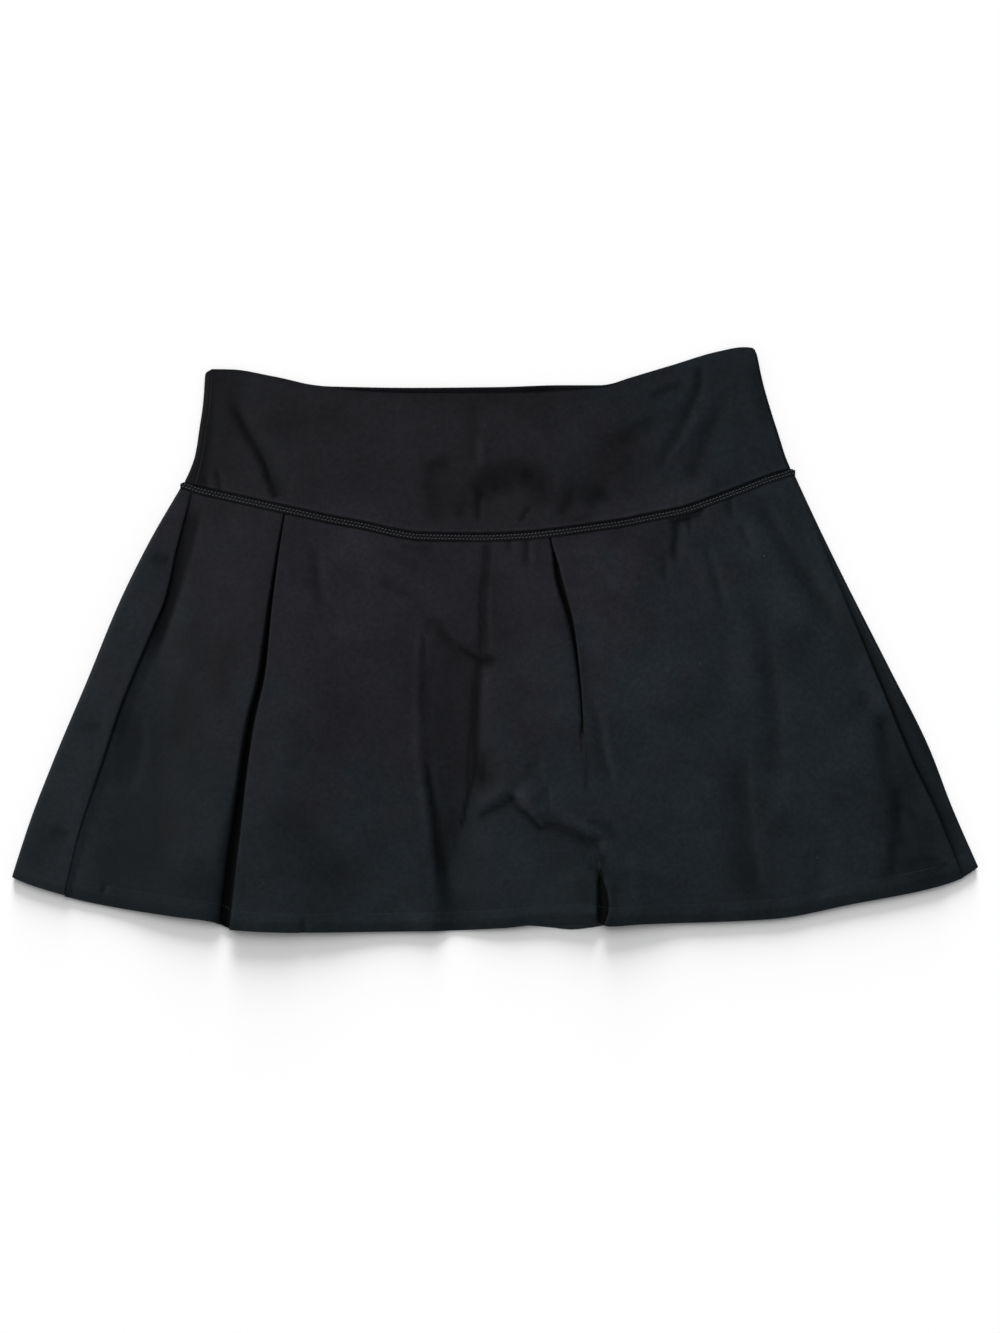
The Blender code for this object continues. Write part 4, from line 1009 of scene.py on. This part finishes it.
# The back's middle surface and painted shade in the rows v. Folds, waves and the hem's sewing
# count only in the strips that show, and the right one gets a painted shadow along the front's
# edge that lies on it.
def backGrid(v):
    rows = np.asarray(v, float)[:, None]
    sides = sidesOf(garment["skirtSides"], "v", rows)
    at = {key: through(sideHeights, "v", key, rows) for key in sideHeights if key != "v"}
    strips = {side: (at[side + "Seam"], at[side + "Strip"], back[side + "Run"],
                     at[side + "Drop"]) for side in ("left", "right")}
    x, z = wrappedSections(sides, back["mid"], strips, back)
    y = skirtY(x, rows, garment["backHem"])
    shown = ease((z - back["shownFrom"]) / back["shownRun"])
    above = (1 - rows) * garment["skirtLength"]
    relief, kept = foldShape(x, y, stripFolds)
    waves = back["waves"]
    relief += waves["high"] * slowWaves(x, y, waves["long"], waves["turn"])
    out = np.abs(x - sides["rightSeam"]) / at["stripFades"]
    rightStrip = (x > 0) * (z > back["darkFrom"])
    kept = kept * (1 - at["stripDark"] * np.exp(-out ** back["darkSharp"]) * rightStrip)
    for line in skirt["hemStitch"]:
        relief = relief - back["hemSunk"] * np.exp(-((above - line) / skirt["sunkWide"]) ** 2)
    # painted shade down to the hem's edge, which bends down
    edge = np.clip(1 - above / skirt["hemStitch"][0], 0, 1)
    kept = kept * (1 - back["edgeDark"] * ease(edge * 5))
    z = z + (relief - back["edgeDrop"] * edge ** 1.5) * shown
    return np.stack([x, y, z], axis=2), kept


skirtBack = skirtPanel("skirtBack", backGrid, back, 1)
print("skirt back made")


# The waistband, cut double and folded at its edge.
band = {
    "thick": 0.6 * mm, "apart": 0.9 * mm,       # two layers, and their middles' distance
    "mid": 2.7 * mm, "sideMid": 4.0 * mm, "sideRun": 30 * mm,   # heights, higher at its sides
    "columns": 250, "rows": 66, "crowded": 0.13,  # rows crowd towards the edge and the seam
    "waves": {"high": 0.15 * mm, "long": 120 * mm, "turn": 2.0},
    "ditch": 0.3 * mm,           # between its lower edge and the seam strip
    "puff": 0.9 * mm, "puffRun": 16 * mm, "edge": 0.75 * mm, "edgeDrop": 1.5 * mm,
    "waistDrop": 0.7 * mm, "waistRun": 2.2 * mm,
    "seamGap": 0.05 * mm, "lap": 2.4 * mm, "lapOver": 0.7 * mm,   # over the back on the right
    "lip": 0.2, "lipAt": 1.7 * mm, "lipWide": 1.0 * mm,     # a painted highlight where it bends down
    "ditchDark": 0.99, "ditchWide": 0.62 * mm,              # and painted shade in the ditch below that
    "backMid": 0.75 * mm, "backStrip": 3 * mm, "backDrop": 0.2 * mm,
    "counts": {"across": 110, "strip": 5, "turn": 11},
    # the back's edge behind the front's: how far it rises there and over which run, from how
    # far inside the sides, how dark its painted shade is and how far down, and the line of painted
    # shadow along the front's edge, which is weaker from "lessFrom" on
    "backEdge": {"rise": 2.1 * mm, "riseRun": 2.6 * mm, "lowest": 0.5 * mm,
                 "inside": 60 * mm, "insideRun": 50 * mm, "dark": 0.5, "darkDown": 8 * mm,
                 "line": 0.45, "lineLess": 0.36, "lessFrom": -0.04, "lessRun": 0.05,
                 "lineAt": 3.9 * mm, "lineWide": 1.2 * mm},
}
# Folds of the waistband's front, with painted shade in their troughs and painted light on a few
# ridges.
bandFolds = (
    fold(((-143, 92), (-151, 115), (-163, 137), (-175, 161)), -1.4, (2.2, 3), (10, 4.5), dark=0.6,
         fade=(0.04, 0.22)),
    fold(((-148, 100), (-151.5, 114), (-157, 126)), -0.3, 2.2, 3, dark=0.45),
    fold(((-189, 96), (-190, 110)), -0.4, 2.2, 2.2, dark=0.4, fade=(0.1, 0.4)),
    fold(((-180.5, 96), (-181.5, 106), (-183, 115)), -0.4, 2, 2.4, dark=0.6, fade=(0.1, 0.4)),
    # an arch above the middle of the seam, thick on top, and the small folds beside it
    fold(((-12, 92), (-6, 101), (3, 108.5), (14, 111), (24, 109.5), (33, 103), (40, 96)), -1.0, 9.5,
         11, dark=0.6, fade=(0.12, 0.35), sharp=3),
    fold(((-10.5, 76), (-10.5, 86), (-10, 94), (-6, 100)), -0.6, (1.5, 5), (1.5, 4), dark=0.62,
         fade=(0.3, 0.2)),
    fold(((18, 111), (24.5, 108.5), (27.5, 106)), -0.4, 3, 4, dark=0.5),
    fold(((-3, 99), (8, 101), (16, 101)), -0.3, 5, 6, dark=0.4),
    fold(((28, 106), (37, 99), (38, 86)), -0.4, 7, 7, dark=0.3),
    fold(((17, 77), (20, 82), (25.5, 88.5)), -0.7, 2.2, 2.2, dark=0.5),
    fold(((42, 80), (47, 88), (53, 98)), -0.6, 5, 5, dark=0.5),
    fold(((60, 87), (67, 93), (78, 98)), -0.6, 4.5, 5, dark=0.46),
    fold(((40, 97), (52, 97.5), (64, 98), (80, 101)), -0.3, 6, 6, dark=0.3),
    fold(((-48, 109), (-40, 114.5), (-24, 121)), -0.6, 4.4, 6, dark=0.42, fade=(0.3, 0.4)),
    fold(((-36, 74), (-38, 88), (-42, 101), (-46, 111)), -0.6, 7, 9, dark=0.38),
    fold(((-22, 78), (-20, 88), (-14, 93)), -0.5, 5, 5, dark=0.28),
    fold(((-13, 116), (-13, 134)), -0.4, 4, 3, dark=0.16),
    fold(((-7, 112), (-8, 134)), 0.5, 3, 3.5, dark=-0.08),
    fold(((-12, 126), (-13, 160)), -0.4, 6, 5),
    # the long folds that fan out to the right end of the waist
    fold(((62, 119), (80, 128), (98, 137)), -0.4, 9, 8, dark=0.08, fade=(0.3, 0.3)),
    fold(((82, 131), (91, 132), (99, 134)), -0.3, 2.8, 2.4, dark=0.24),
    fold(((86, 138), (96, 142), (108, 147)), -0.4, 2.8, 3, dark=0.22),
    fold(((80, 110), (87, 115), (94, 121)), -0.3, 3.5, 3.5, dark=0.16),
    fold(((106, 110), (112, 121), (119, 133), (126, 147), (130, 156)), -0.5, 4, 3.6, dark=0.3,
         fade=(0.2, 0.2)),
    fold(((122, 143), (128, 151), (132.5, 161), (136, 171), (135, 182)), -0.9, (5, 4), (3.6, 3),
         dark=0.52, fade=(0.3, 0.12)),
    fold(((101, 160), (113, 165), (127, 171)), -0.5, 2.6, 2.6, dark=0.46),
    fold(((130, 101), (131.5, 112), (136, 125), (141, 138), (147, 152), (153, 168)), -0.6, 5,
         (6, 4.5), dark=0.4, fade=(0.12, 0.35)),
    fold(((114, 117), (129, 136), (137, 153)), 0.7, 2.5, 2.5, dark=-0.08),
    fold(((67, 126), (99, 140), (114, 149)), -0.5, 5, 5),
    # the left end rolls down
    fold(((-191, 96), (-189, 150), (-188, 178)), -0.9, 6, 9, dark=0.3, fade=(0.1, 0)),
)
# Painted shade on the back's edge where it shows behind the front's, and on its left strip.
backEdgePaintedTones = (
    paintedTone(((14, 165.5), (42, 167)), 4, 4, 0.55),
    paintedTone(((-106, 166.5), (-76, 165.5)), 4, 4, 0.4),
    paintedTone(((-206, 98), (-199, 112), (-193, 140), (-192, 180)), 6, 6, 0.74, fade=(0, 0)),
)
# Patches of painted light and shade on the waistband's front.
bandPaintedTones = (
    paintedTone(((-184, 182), (-180, 160), (-174, 100)), 18, 18, 0.3, fade=(0, 0.2)),
    paintedTone(((-118, 96), (-95, 87), (-55, 80)), 12, 10, -0.26),
    paintedTone(((34, 102), (58, 104), (84, 118), (100, 130)), 20, 16, 0.26),
    paintedTone(((-36, 128), (-28, 82)), 13, 16, 0.2),
    paintedTone(((60, 79), (104, 89), (146, 105)), 10, 8, -0.38, fade=(0.15, 0.1)),
    paintedTone(((-60, 160), (0, 159), (56, 162), (90, 170)), 6, 8, 0.14),
    paintedTone(((27, 112), (28, 82)), 8, 8, 0.22),
    paintedTone(((-158, 118), (-151, 140), (-120, 147), (-84, 147)), 11, 12, 0.2),
    paintedTone(((-186, 108), (-170, 98), (-148, 92)), 8, 8, 0.16),
    paintedTone(((-200, 98), (-195, 108), (-190.5, 130), (-189.5, 178)), 4, 4, 0.42, fade=(0, 0)),
    paintedTone(((182, 136), (176, 154), (171, 176), (168, 188)), 5, 5, 0.3),
    paintedTone(((146, 104), (150, 122), (157, 146)), 6, 6, -0.18),
    paintedTone(((70, 168), (100, 173.5), (130, 182)), 3, 4, 0.16),
    paintedTone(((-192, 122), (-190, 134), (-190, 146)), 5, 5, 0.2),
    paintedTone(((-130, 165), (60, 155), (100, 168)), 10, 10, 0.08),
    paintedTone(((148, 192), (156, 168), (160, 140)), 16, 16, 0.1, fade=(0, 0.4)),
)


# The waistband's front in the rows w: evenly across from seam to seam, past the right one by
# its lap.
def bandGrid(w):
    rows = np.asarray(w, float)[:, None]
    sides = sidesOf(garment["bandSides"], "w", rows)
    first, last = sides["leftSeam"] + band["seamGap"], sides["rightSeam"] + band["lap"]
    x = first + (last - first) * np.linspace(0.0, 1.0, band["columns"])[None, :]
    y = bandY(x, rows, garment["frontWaist"], band["ditch"])
    height, kept = bandHeight(x, y, rows)
    return np.stack([x, y, height], axis=2), kept


# Height of the waistband's front: flat at the waist, at the skirt's own height at the seam,
# puffed above it and dropping by a quarter circle into the ditch, with the folds on it, and
# the painted shade and painted light of its folds and patches.
def bandHeight(x, y, w):
    sides = sidesOf(garment["bandSides"], "w", w)
    near = 1 - ease(np.minimum(x - sides["left"], sides["right"] - x) / band["sideRun"])
    top = band["mid"] + (band["sideMid"] - band["mid"]) * near
    skirtTop = sidesOf(garment["skirtSides"], "v", np.zeros_like(w))
    share = (x - sides["left"]) / (sides["right"] - sides["left"])
    at = skirtTop["left"] + share * (skirtTop["right"] - skirtTop["left"])
    sizes = [pleatSizes(pleat, np.zeros_like(w)) for pleat in pleats]
    bottom = frontTop(at, np.zeros_like(w), sizes)
    above = (1 - w) * garment["bandHeight"]
    puff = band["puff"] * np.exp(-(above / band["puffRun"]) ** 2)
    waist = band["waistDrop"] * np.exp(-w * garment["bandHeight"] / band["waistRun"])
    edge = 1 - np.sqrt(1 - np.clip(1 - above / band["edge"], 0, 0.999) ** 2)
    waves = band["waves"]
    slow = waves["high"] * slowWaves(x, y, waves["long"], waves["turn"])
    relief, kept = foldShape(x, y, bandFolds)
    kept = kept * foldShape(x, y, bandPaintedTones)[1]
    return (top + (bottom - top) * ease(w) ** 1.5 + puff - band["edgeDrop"] * edge - waist
            + slow + relief, kept)


def bandRows():  # evenly less a sine, so close together at the waist edge and at the seam
    w = np.linspace(0.0, 1.0, band["rows"])
    return w - band["crowded"] * np.sin(2 * np.pi * w)


# Two layers from one: the outer from the seam up to the edge, round it, and the inner down.
def doubled(grid, outer):
    normals = gridNormals(grid)
    grid = grid + outer * band["apart"] / 2 * normals
    return turnUnder(grid[::-1], outer, band["apart"], len(grid))


# The waistband's front, with a painted highlight on its lower edge where it bends down and
# painted shade in the ditch below that.
def bandFrontPiece():
    w = bandRows()
    grid, kept = bandGrid(w)
    grid = doubled(grid, 1)
    above = (1 - w) * garment["bandHeight"]
    lip = band["lip"] * np.exp(-((above - band["lipAt"]) / band["lipWide"]) ** 2)
    ditch = band["ditchDark"] * np.exp(-(above / band["ditchWide"]) ** 6)
    paintedShade = (kept * ((1 + lip) * (1 - ditch))[:, None])[::-1]
    return clothSheet("bandFront", grid, band["thick"], bandJersey, paintedShade)


# The waistband's back: a wrapped section whose strips come up to the front's own height, with
# its edge raised behind the front's along the middle, painted shade on that edge and a line of
# painted shadow along the front's edge.
def bandBackPiece():
    rows = bandRows()[:, None]
    sides = sidesOf(garment["bandSides"], "w", rows)
    y = lambda x: bandY(x, rows, garment["frontWaist"], 0.0)
    seam = {side: sides[side + "Seam"] for side in ("left", "right")}
    high = {side: bandHeight(seam[side], y(seam[side]), rows)[0] for side in seam}
    sides["half"] = band["seamGap"]
    high["right"] = high["right"] - band["lapOver"]
    strips = {side: (high[side], high[side], band["backStrip"], band["backDrop"])
              for side in seam}
    x, z = wrappedSections(sides, band["backMid"], strips, band["counts"])
    y = bandY(x, rows, garment["backWaist"], 0.0)
    edge = band["backEdge"]
    inside = np.minimum(x - sides["left"], sides["right"] - x)
    low = (z < band["backMid"] + edge["lowest"]) * ease((inside - edge["inside"])
                                                        / edge["insideRun"])
    below = rows * garment["bandHeight"]
    z = z + edge["rise"] * low * (1 - ease(below / edge["riseRun"]))
    line = edge["line"] - edge["lineLess"] * ease((x - edge["lessFrom"]) / edge["lessRun"])
    line = line * np.exp(-((below - edge["lineAt"]) / edge["lineWide"]) ** 4)
    paintedShade = 1 - low * (edge["dark"] * (below < edge["darkDown"]) + line)
    paintedShade = paintedShade * foldShape(x, y, backEdgePaintedTones)[1]
    grid = doubled(np.stack([x, y, z], axis=2), -1)
    paintedShade = np.concatenate([paintedShade[::-1], np.ones((turnRows, paintedShade.shape[1])), paintedShade])
    return clothSheet("bandBack", grid, band["thick"], bandJersey, paintedShade)


bandFront = bandFrontPiece()
bandBack = bandBackPiece()
print("waistband made")


# The strip over the waist seam, with its two rows of stitches.
strip = {
    "high": 5.2 * mm, "thick": 0.4 * mm, "columns": 700, "rows": 21,
    "off": 0.55 * mm, "flush": 0.46 * mm,       # above the skirt's top, and lower where flush
    "tab": 1.8 * mm, "droop": 1.5 * mm,         # how far its ends stand out, and droop
    "inner": 4.6 * mm, "endRun": 10 * mm, "cornerRun": 4 * mm,
    "puff": 0.6 * mm,
    "flatPuff": 0.35,            # the share of its puff that is left where it is flush
    # how proud of the skirt it stands along its length, 1 its most and 0 flush
    "x": (-0.210, -0.05, 0.00, 0.05, 0.12, 0.20), "proud": (1.0, 1.0, 0.3, 0.42, 0.1, 0.0),
    # three dark lines along it, the painted shade of the ditch above it, a darker line between
    # its rows and a painted shadow under its lower edge: how dark, how far down it as a share, and
    # how wide
    "upperDark": (0.99, 0.00, 0.12), "middleDark": (0.95, 0.41, 0.11),
    "lowerDark": (0.86, 0.88, 0.10), "leastDark": 0.05, "teeth": 0.24, "teethWave": 30 * mm,
    "stitchRows": (0.22, 0.61), "pitch": 2.3 * mm, "sunk": 0.12 * mm, "sunkWide": 0.08,
    "stagger": 0.3, "lineColumns": 900, "beside": 0.05,
    "needle": {"long": 1.5 * mm, "thick": 0.52 * mm, "dip": 0.18 * mm},
    "looper": {"long": 2.4 * mm, "thick": 0.15 * mm, "dip": 0.10 * mm},
}


# The strip's middle: it follows the top of the skirt's front just below the seam, evened out
# along it, puffed between its edges, and its ends stand out past the sides and droop there.
def stripGrid(down, columns):
    sides = sidesOf(garment["skirtSides"], "v", np.zeros((1, 1)))
    left, right = float(sides["left"][0, 0]), float(sides["right"][0, 0])
    x = np.linspace(left - strip["tab"], right + strip["tab"], columns)
    inside = np.clip(x, left + strip["inner"], right - strip["inner"])[None, :]
    rows = np.array([[0.0], [strip["high"] / garment["skirtLength"]]])
    sizes = [pleatSizes(pleat, rows) for pleat in pleats]
    level = frontTop(inside, rows, sizes)
    level = level + frontRelief(np.broadcast_to(inside, level.shape),
                                skirtY(inside, rows, garment["frontHem"]), rows)[0]
    level = level.max(axis=0)
    for _ in range(4):                           # dips are bridged, then it is widened
        beside = np.pad(level, 1, mode="edge")
        level = np.maximum(level, (beside[:-2] + beside[2:]) / 2)
    beside = np.pad(level, 2, mode="edge")
    level = np.max([beside[i:len(beside) - 4 + i] for i in range(5)], axis=0)
    seam = acrossCurve(garment["waistSeam"], (x - left) / (right - left))
    down = np.asarray(down, float)[:, None]
    fromEnd = np.minimum(x - left, right - x)
    ends = ease(fromEnd / strip["endRun"])
    corners = 1 - ease(fromEnd / strip["cornerRun"] + 0.5)
    y = seam - garment["seamGap"] * ends - strip["high"] * down
    y = y - strip["droop"] * corners * (1 - down) ** 2
    proud = through(strip, "x", "proud", x)
    z = (level + strip["off"] - (1 - proud) * strip["flush"] * down
         + strip["puff"] * (strip["flatPuff"] + (1 - strip["flatPuff"]) * proud)
         * (1 - np.abs(2 * down - 1) ** 3))
    return np.stack([np.broadcast_to(x, y.shape), y, z], axis=2)


# The strip as a sheet, sunk along its stitches, with painted shade at its edges and darker
# between its rows. Its lower edge gets a painted shadow in teeth, as far as it stands proud
# of the skirt.
def seamStripPiece():
    down = np.linspace(0.0, 1.0, strip["rows"])
    grid = stripGrid(down, strip["columns"])
    for line in strip["stitchRows"]:
        sunk = strip["sunk"] * np.exp(-((down - line) / strip["sunkWide"]) ** 2)
        grid[..., 2] -= sunk[:, None]
    x = grid[0, :, 0]
    wave = 2 * slowWaves(x, 0 * x, strip["teethWave"])
    teeth = 1 - strip["teeth"] + strip["teeth"] * np.sin(2 * np.pi * x / strip["pitch"] + wave)
    (upper, upperAt, upperWide), (middle, middleAt, middleWide), (lower, lowerAt, lowerWide) = (
        strip["upperDark"], strip["middleDark"], strip["lowerDark"])
    deep = strip["leastDark"] + lower * through(strip, "x", "proud", x) * teeth
    light = {"upper": 1 - upper * np.exp(-((down - upperAt) / upperWide) ** 4),
             "middle": 1 - middle * np.exp(-((down - middleAt) / middleWide) ** 2),
             "lower": 1 - deep[:, None] * np.exp(-((down - lowerAt) / lowerWide) ** 4)}
    paintedShade = (light["upper"] * light["middle"] * light["lower"]).T
    return clothSheet("seamStrip", grid, strip["thick"], seamJersey, paintedShade)


# The needle's stitches in two rows, and the looper's thread that goes to and fro between them,
# from a stitch of one row to the next stitch of the other.
def seamStitchPieces():
    lift = strip["thick"] / 2
    found = []
    for k, line in enumerate(strip["stitchRows"]):
        local = stripGrid([line - strip["beside"], line, line + strip["beside"]],
                          strip["lineColumns"])
        normals = gridNormals(local)[1]
        found.append(alongLine(local[1] + lift * normals, normals, strip["pitch"],
                               strip["stagger"] * k * strip["pitch"]))
    needle = stitchMesh("seamNeedleStitches", *(np.concatenate(part) for part in zip(*found)),
                        strip["needle"], seamThread)
    (upper, _, normals), (lower, _, _) = found
    count = min(len(upper), len(lower)) - 1
    swing = (np.arange(count) % 2)[:, None]
    start = np.where(swing, upper[:count], lower[:count])
    end = np.where(swing, lower[1:count + 1], upper[1:count + 1])
    middle = stripGrid([sum(strip["stitchRows"]) / 2], strip["lineColumns"])[0]
    centres = (start + end) / 2
    centres[:, 2] = np.interp(centres[:, 0], middle[:, 0], middle[:, 2]) + lift
    leads = unit(end - start)
    looper = stitchMesh("seamLooperThread", centres, leads, squareTo(normals[:count], leads),
                        strip["looper"], seamThread)
    return needle, looper


seamStrip = seamStripPiece()
needleStitches, looperThread = seamStitchPieces()
print("waist seam made")


# The hem's stitches.
hemSewing = {
    "pitch": 2.2 * mm, "size": {"long": 1.7 * mm, "thick": 0.36 * mm, "dip": 0.12 * mm},
    "off": (-0.10 * mm, 0.02 * mm), "sunk": 0.08 * mm, "long": 50 * mm, "turn": 0.6,
    "stagger": 0.4 * mm, "beside": 0.004,        # each row's start, and the rows beside it
}


# Two rows of stitches on the outer side of a panel, each along the row at its height, sunk
# unevenly into the cloth.
def hemStitches(name, gridOf, outer):
    found = []
    for k, line in enumerate(skirt["hemStitch"]):
        v = 1 - line / garment["skirtLength"]
        local = gridOf(np.array([v - hemSewing["beside"], v, v + hemSewing["beside"]]))
        normals = outer * gridNormals(local)[1]
        waves = 1 + slowWaves(local[1][:, :1], 0.0, hemSewing["long"], hemSewing["turn"] + k)
        off = hemSewing["off"][k] - hemSewing["sunk"] * waves
        surface = local[1] + (skirt["thick"] / 2 + off) * normals
        found.append(alongLine(surface, normals, hemSewing["pitch"], hemSewing["stagger"] * k))
    parts = [np.concatenate(part) for part in zip(*found)]
    if outer < 0:                                # the back's only where it shows
        shown = parts[0][:, 2] > back["shownFrom"]
        parts = [part[shown] for part in parts]
    return stitchMesh(name, *parts, hemSewing["size"], hemThread)


frontHemStitches = hemStitches("frontHemStitches", lambda v: frontGrid(v)[0], 1)
backHemStitches = hemStitches("backHemStitches", lambda v: backGrid(v)[0], -1)
print("hem stitches made")


# The inner shorts, four panels.
shorts = {
    "left": {"v": (0.00, 0.35, 0.65, 0.82, 1.00),
             "side": (-0.1950, -0.1960, -0.1930, -0.1900, -0.1850),
             "inside": (0.0000, 0.0000, 0.0000, 0.0190, 0.0320), "way": -1},
    "right": {"v": (0.00, 0.35, 0.65, 0.82, 1.00),
              "side": (0.1860, 0.1870, 0.1860, 0.1850, 0.1820),
              "inside": (0.0000, 0.0000, 0.0000, 0.0120, 0.0220), "way": 1},
    "frontMid": 1.6 * mm, "backMid": 0.9 * mm, "thick": 0.5 * mm,
    "hemRise": 0.9 * mm, "riseFrom": 0.80, "riseRun": 0.12,     # the front over the back's hem
    "belowSeam": 0.3 * mm, "waveHigh": 0.02 * mm, "waveLong": 90 * mm,
    "hemY": -128 * mm, "bow": 4 * mm, "rows": 40, "columns": 44,
    "hemRows": 5, "hemApart": 0.55 * mm,
}


# One flat panel: from its side to the centre seam, from the waist seam to the leg's hem, which
# bows by a half sine.
def shortsPanel(name, leg, mid, side):
    v = np.linspace(0.0, 1.0, shorts["rows"])[:, None]
    share = np.linspace(0.0, 1.0, shorts["columns"])[None, :]
    outer = through(leg, "v", "side", v)
    inner = through(skirt["centre"], "v", "x", v) + leg["way"] * (
        garment["seamGap"] / 2 + through(leg, "v", "inside", v))
    x = outer + (inner - outer) * share
    top = skirtY(x, np.zeros_like(x), garment["backHem"]) - shorts["belowSeam"]
    y = top + (shorts["hemY"] - shorts["bow"] * np.sin(np.pi * share) - top) * v
    z = mid + shorts["waveHigh"] * slowWaves(x, y, shorts["waveLong"], mid / mm)
    if side < 0:
        z = z + shorts["hemRise"] * ease((v - shorts["riseFrom"]) / shorts["riseRun"])
    grid = np.stack([x, y, z], axis=2)
    if leg["way"] > 0:
        grid = grid[:, ::-1]
    grid = turnUnder(grid, side, shorts["hemApart"], shorts["hemRows"])
    return clothSheet(name, grid, shorts["thick"], shortsJersey)


shortsPieces = {}
for sideName in ("left", "right"):
    for layer, side in (("front", -1), ("back", 1)):
        name = "shorts" + layer.capitalize() + sideName.capitalize()
        shortsPieces[layer, sideName] = shortsPanel(name, shorts[sideName],
                                                    shorts[layer + "Mid"], side)
print("inner shorts made")


# What each piece stands for: all ride on the root body, and the CAD parts they stand for are
# hidden.
for piece in (skirtFront, skirtBack, bandFront, bandBack, seamStrip, needleStitches,
              looperThread, frontHemStitches, backHemStitches, *shortsPieces.values()):
    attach(piece, "root")
for piece, node, slotName in ((skirtFront, "skirt_front", "skirt_jersey"),
                              (skirtBack, "skirt_back", "skirt_jersey"),
                              (bandFront, "waistband_front", "waistband_jersey"),
                              (bandBack, "waistband_back", "waistband_jersey"),
                              (seamStrip, "waist_seam_strip", "seam_strip")):
    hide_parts(node)
for (layer, sideName), piece in shortsPieces.items():
    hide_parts("shorts_" + layer + "_" + sideName)

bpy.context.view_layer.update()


# Floor, light and camera.
studio = {
    "floor": 12.0, "floorBelow": 0.05 * mm, "floorColour": (0.868, 0.866, 0.864),
    "floorDarker": 0.995, "grain": {"Scale": 14.0, "Detail": 3.0},
    "floorRough": 0.95, "floorSpecular": 0.1,
    "world": 0.30, "worldColour": (0.98, 0.99, 1.0),
    "key": {"strength": 3.25, "elevation": 46, "bearing": 172, "soft": 40},
    "lowFloorLight": {"strength": 6.25, "elevation": 13.7, "bearing": 90, "soft": 22},
    "highFloorLight": {"strength": 1.7, "elevation": 46, "bearing": 90, "soft": 62},
    "cameraAt": (3.6 * mm, -17.4 * mm), "cameraHigh": 1.224, "lens": 50, "seesTo": 50.0,
}


def makeFloor():  # a wide square just below the cloth, pale with a faint grain
    half = studio["floor"]
    corners = np.array([(-half, -half, 0), (half, -half, 0), (half, half, 0), (-half, half, 0)])
    corners[:, 2] = -studio["floorBelow"]
    material, tree, shader, place = newMaterial("paleFloor")
    shader.inputs["Roughness"].default_value = studio["floorRough"]
    shader.inputs["Specular IOR Level"].default_value = studio["floorSpecular"]
    colour = studio["floorColour"]
    mix = addNode(tree, "ShaderNodeMix", {"data_type": "RGBA"}, A=(*colour, 1.0),
                  B=(*(part * studio["floorDarker"] for part in colour), 1.0))
    tree.links.new(noiseNode(tree, place, **studio["grain"]), mix.inputs["Factor"])
    tree.links.new(mix.outputs["Result"], shader.inputs["Base Color"])
    return newMesh("floor", corners, np.array([[0, 1, 2, 3]]), material)


# A soft distant light from a bearing (0 is +X, 90 is +Y) and an elevation, in degrees.
def makeSun(name, light, receivers):
    lamp = bpy.data.lights.new(name, "SUN")
    lamp.energy, lamp.angle = light["strength"], np.radians(light["soft"])
    sun = bpy.data.objects.new(name, lamp)
    bpy.context.scene.collection.objects.link(sun)
    sun.rotation_euler = (0.0, np.radians(90 - light["elevation"]),
                          np.radians(light["bearing"]))
    group = bpy.data.collections.new(name + "Receivers")
    for piece in receivers:
        group.objects.link(piece)
    sun.light_linking.receiver_collection = group


floor = makeFloor()
floor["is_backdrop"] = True
makeSun("keyLight", studio["key"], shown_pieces())
for name in ("lowFloorLight", "highFloorLight"):
    makeSun(name, studio[name], [floor])

scene = bpy.context.scene
world = scene.world or bpy.data.worlds.new("studio")
scene.world = world
world.use_nodes = True
sky = world.node_tree.nodes["Background"]
sky.inputs["Color"].default_value = (*studio["worldColour"], 1.0)
sky.inputs["Strength"].default_value = studio["world"]

lens = bpy.data.cameras.new("overhead")
lens.lens, lens.clip_end = studio["lens"], studio["seesTo"]
camera = bpy.data.objects.new("overhead", lens)
scene.collection.objects.link(camera)
camera.location = (*studio["cameraAt"], studio["cameraHigh"])
scene.camera = camera
scene.view_settings.view_transform = "Standard"
print("stage set")
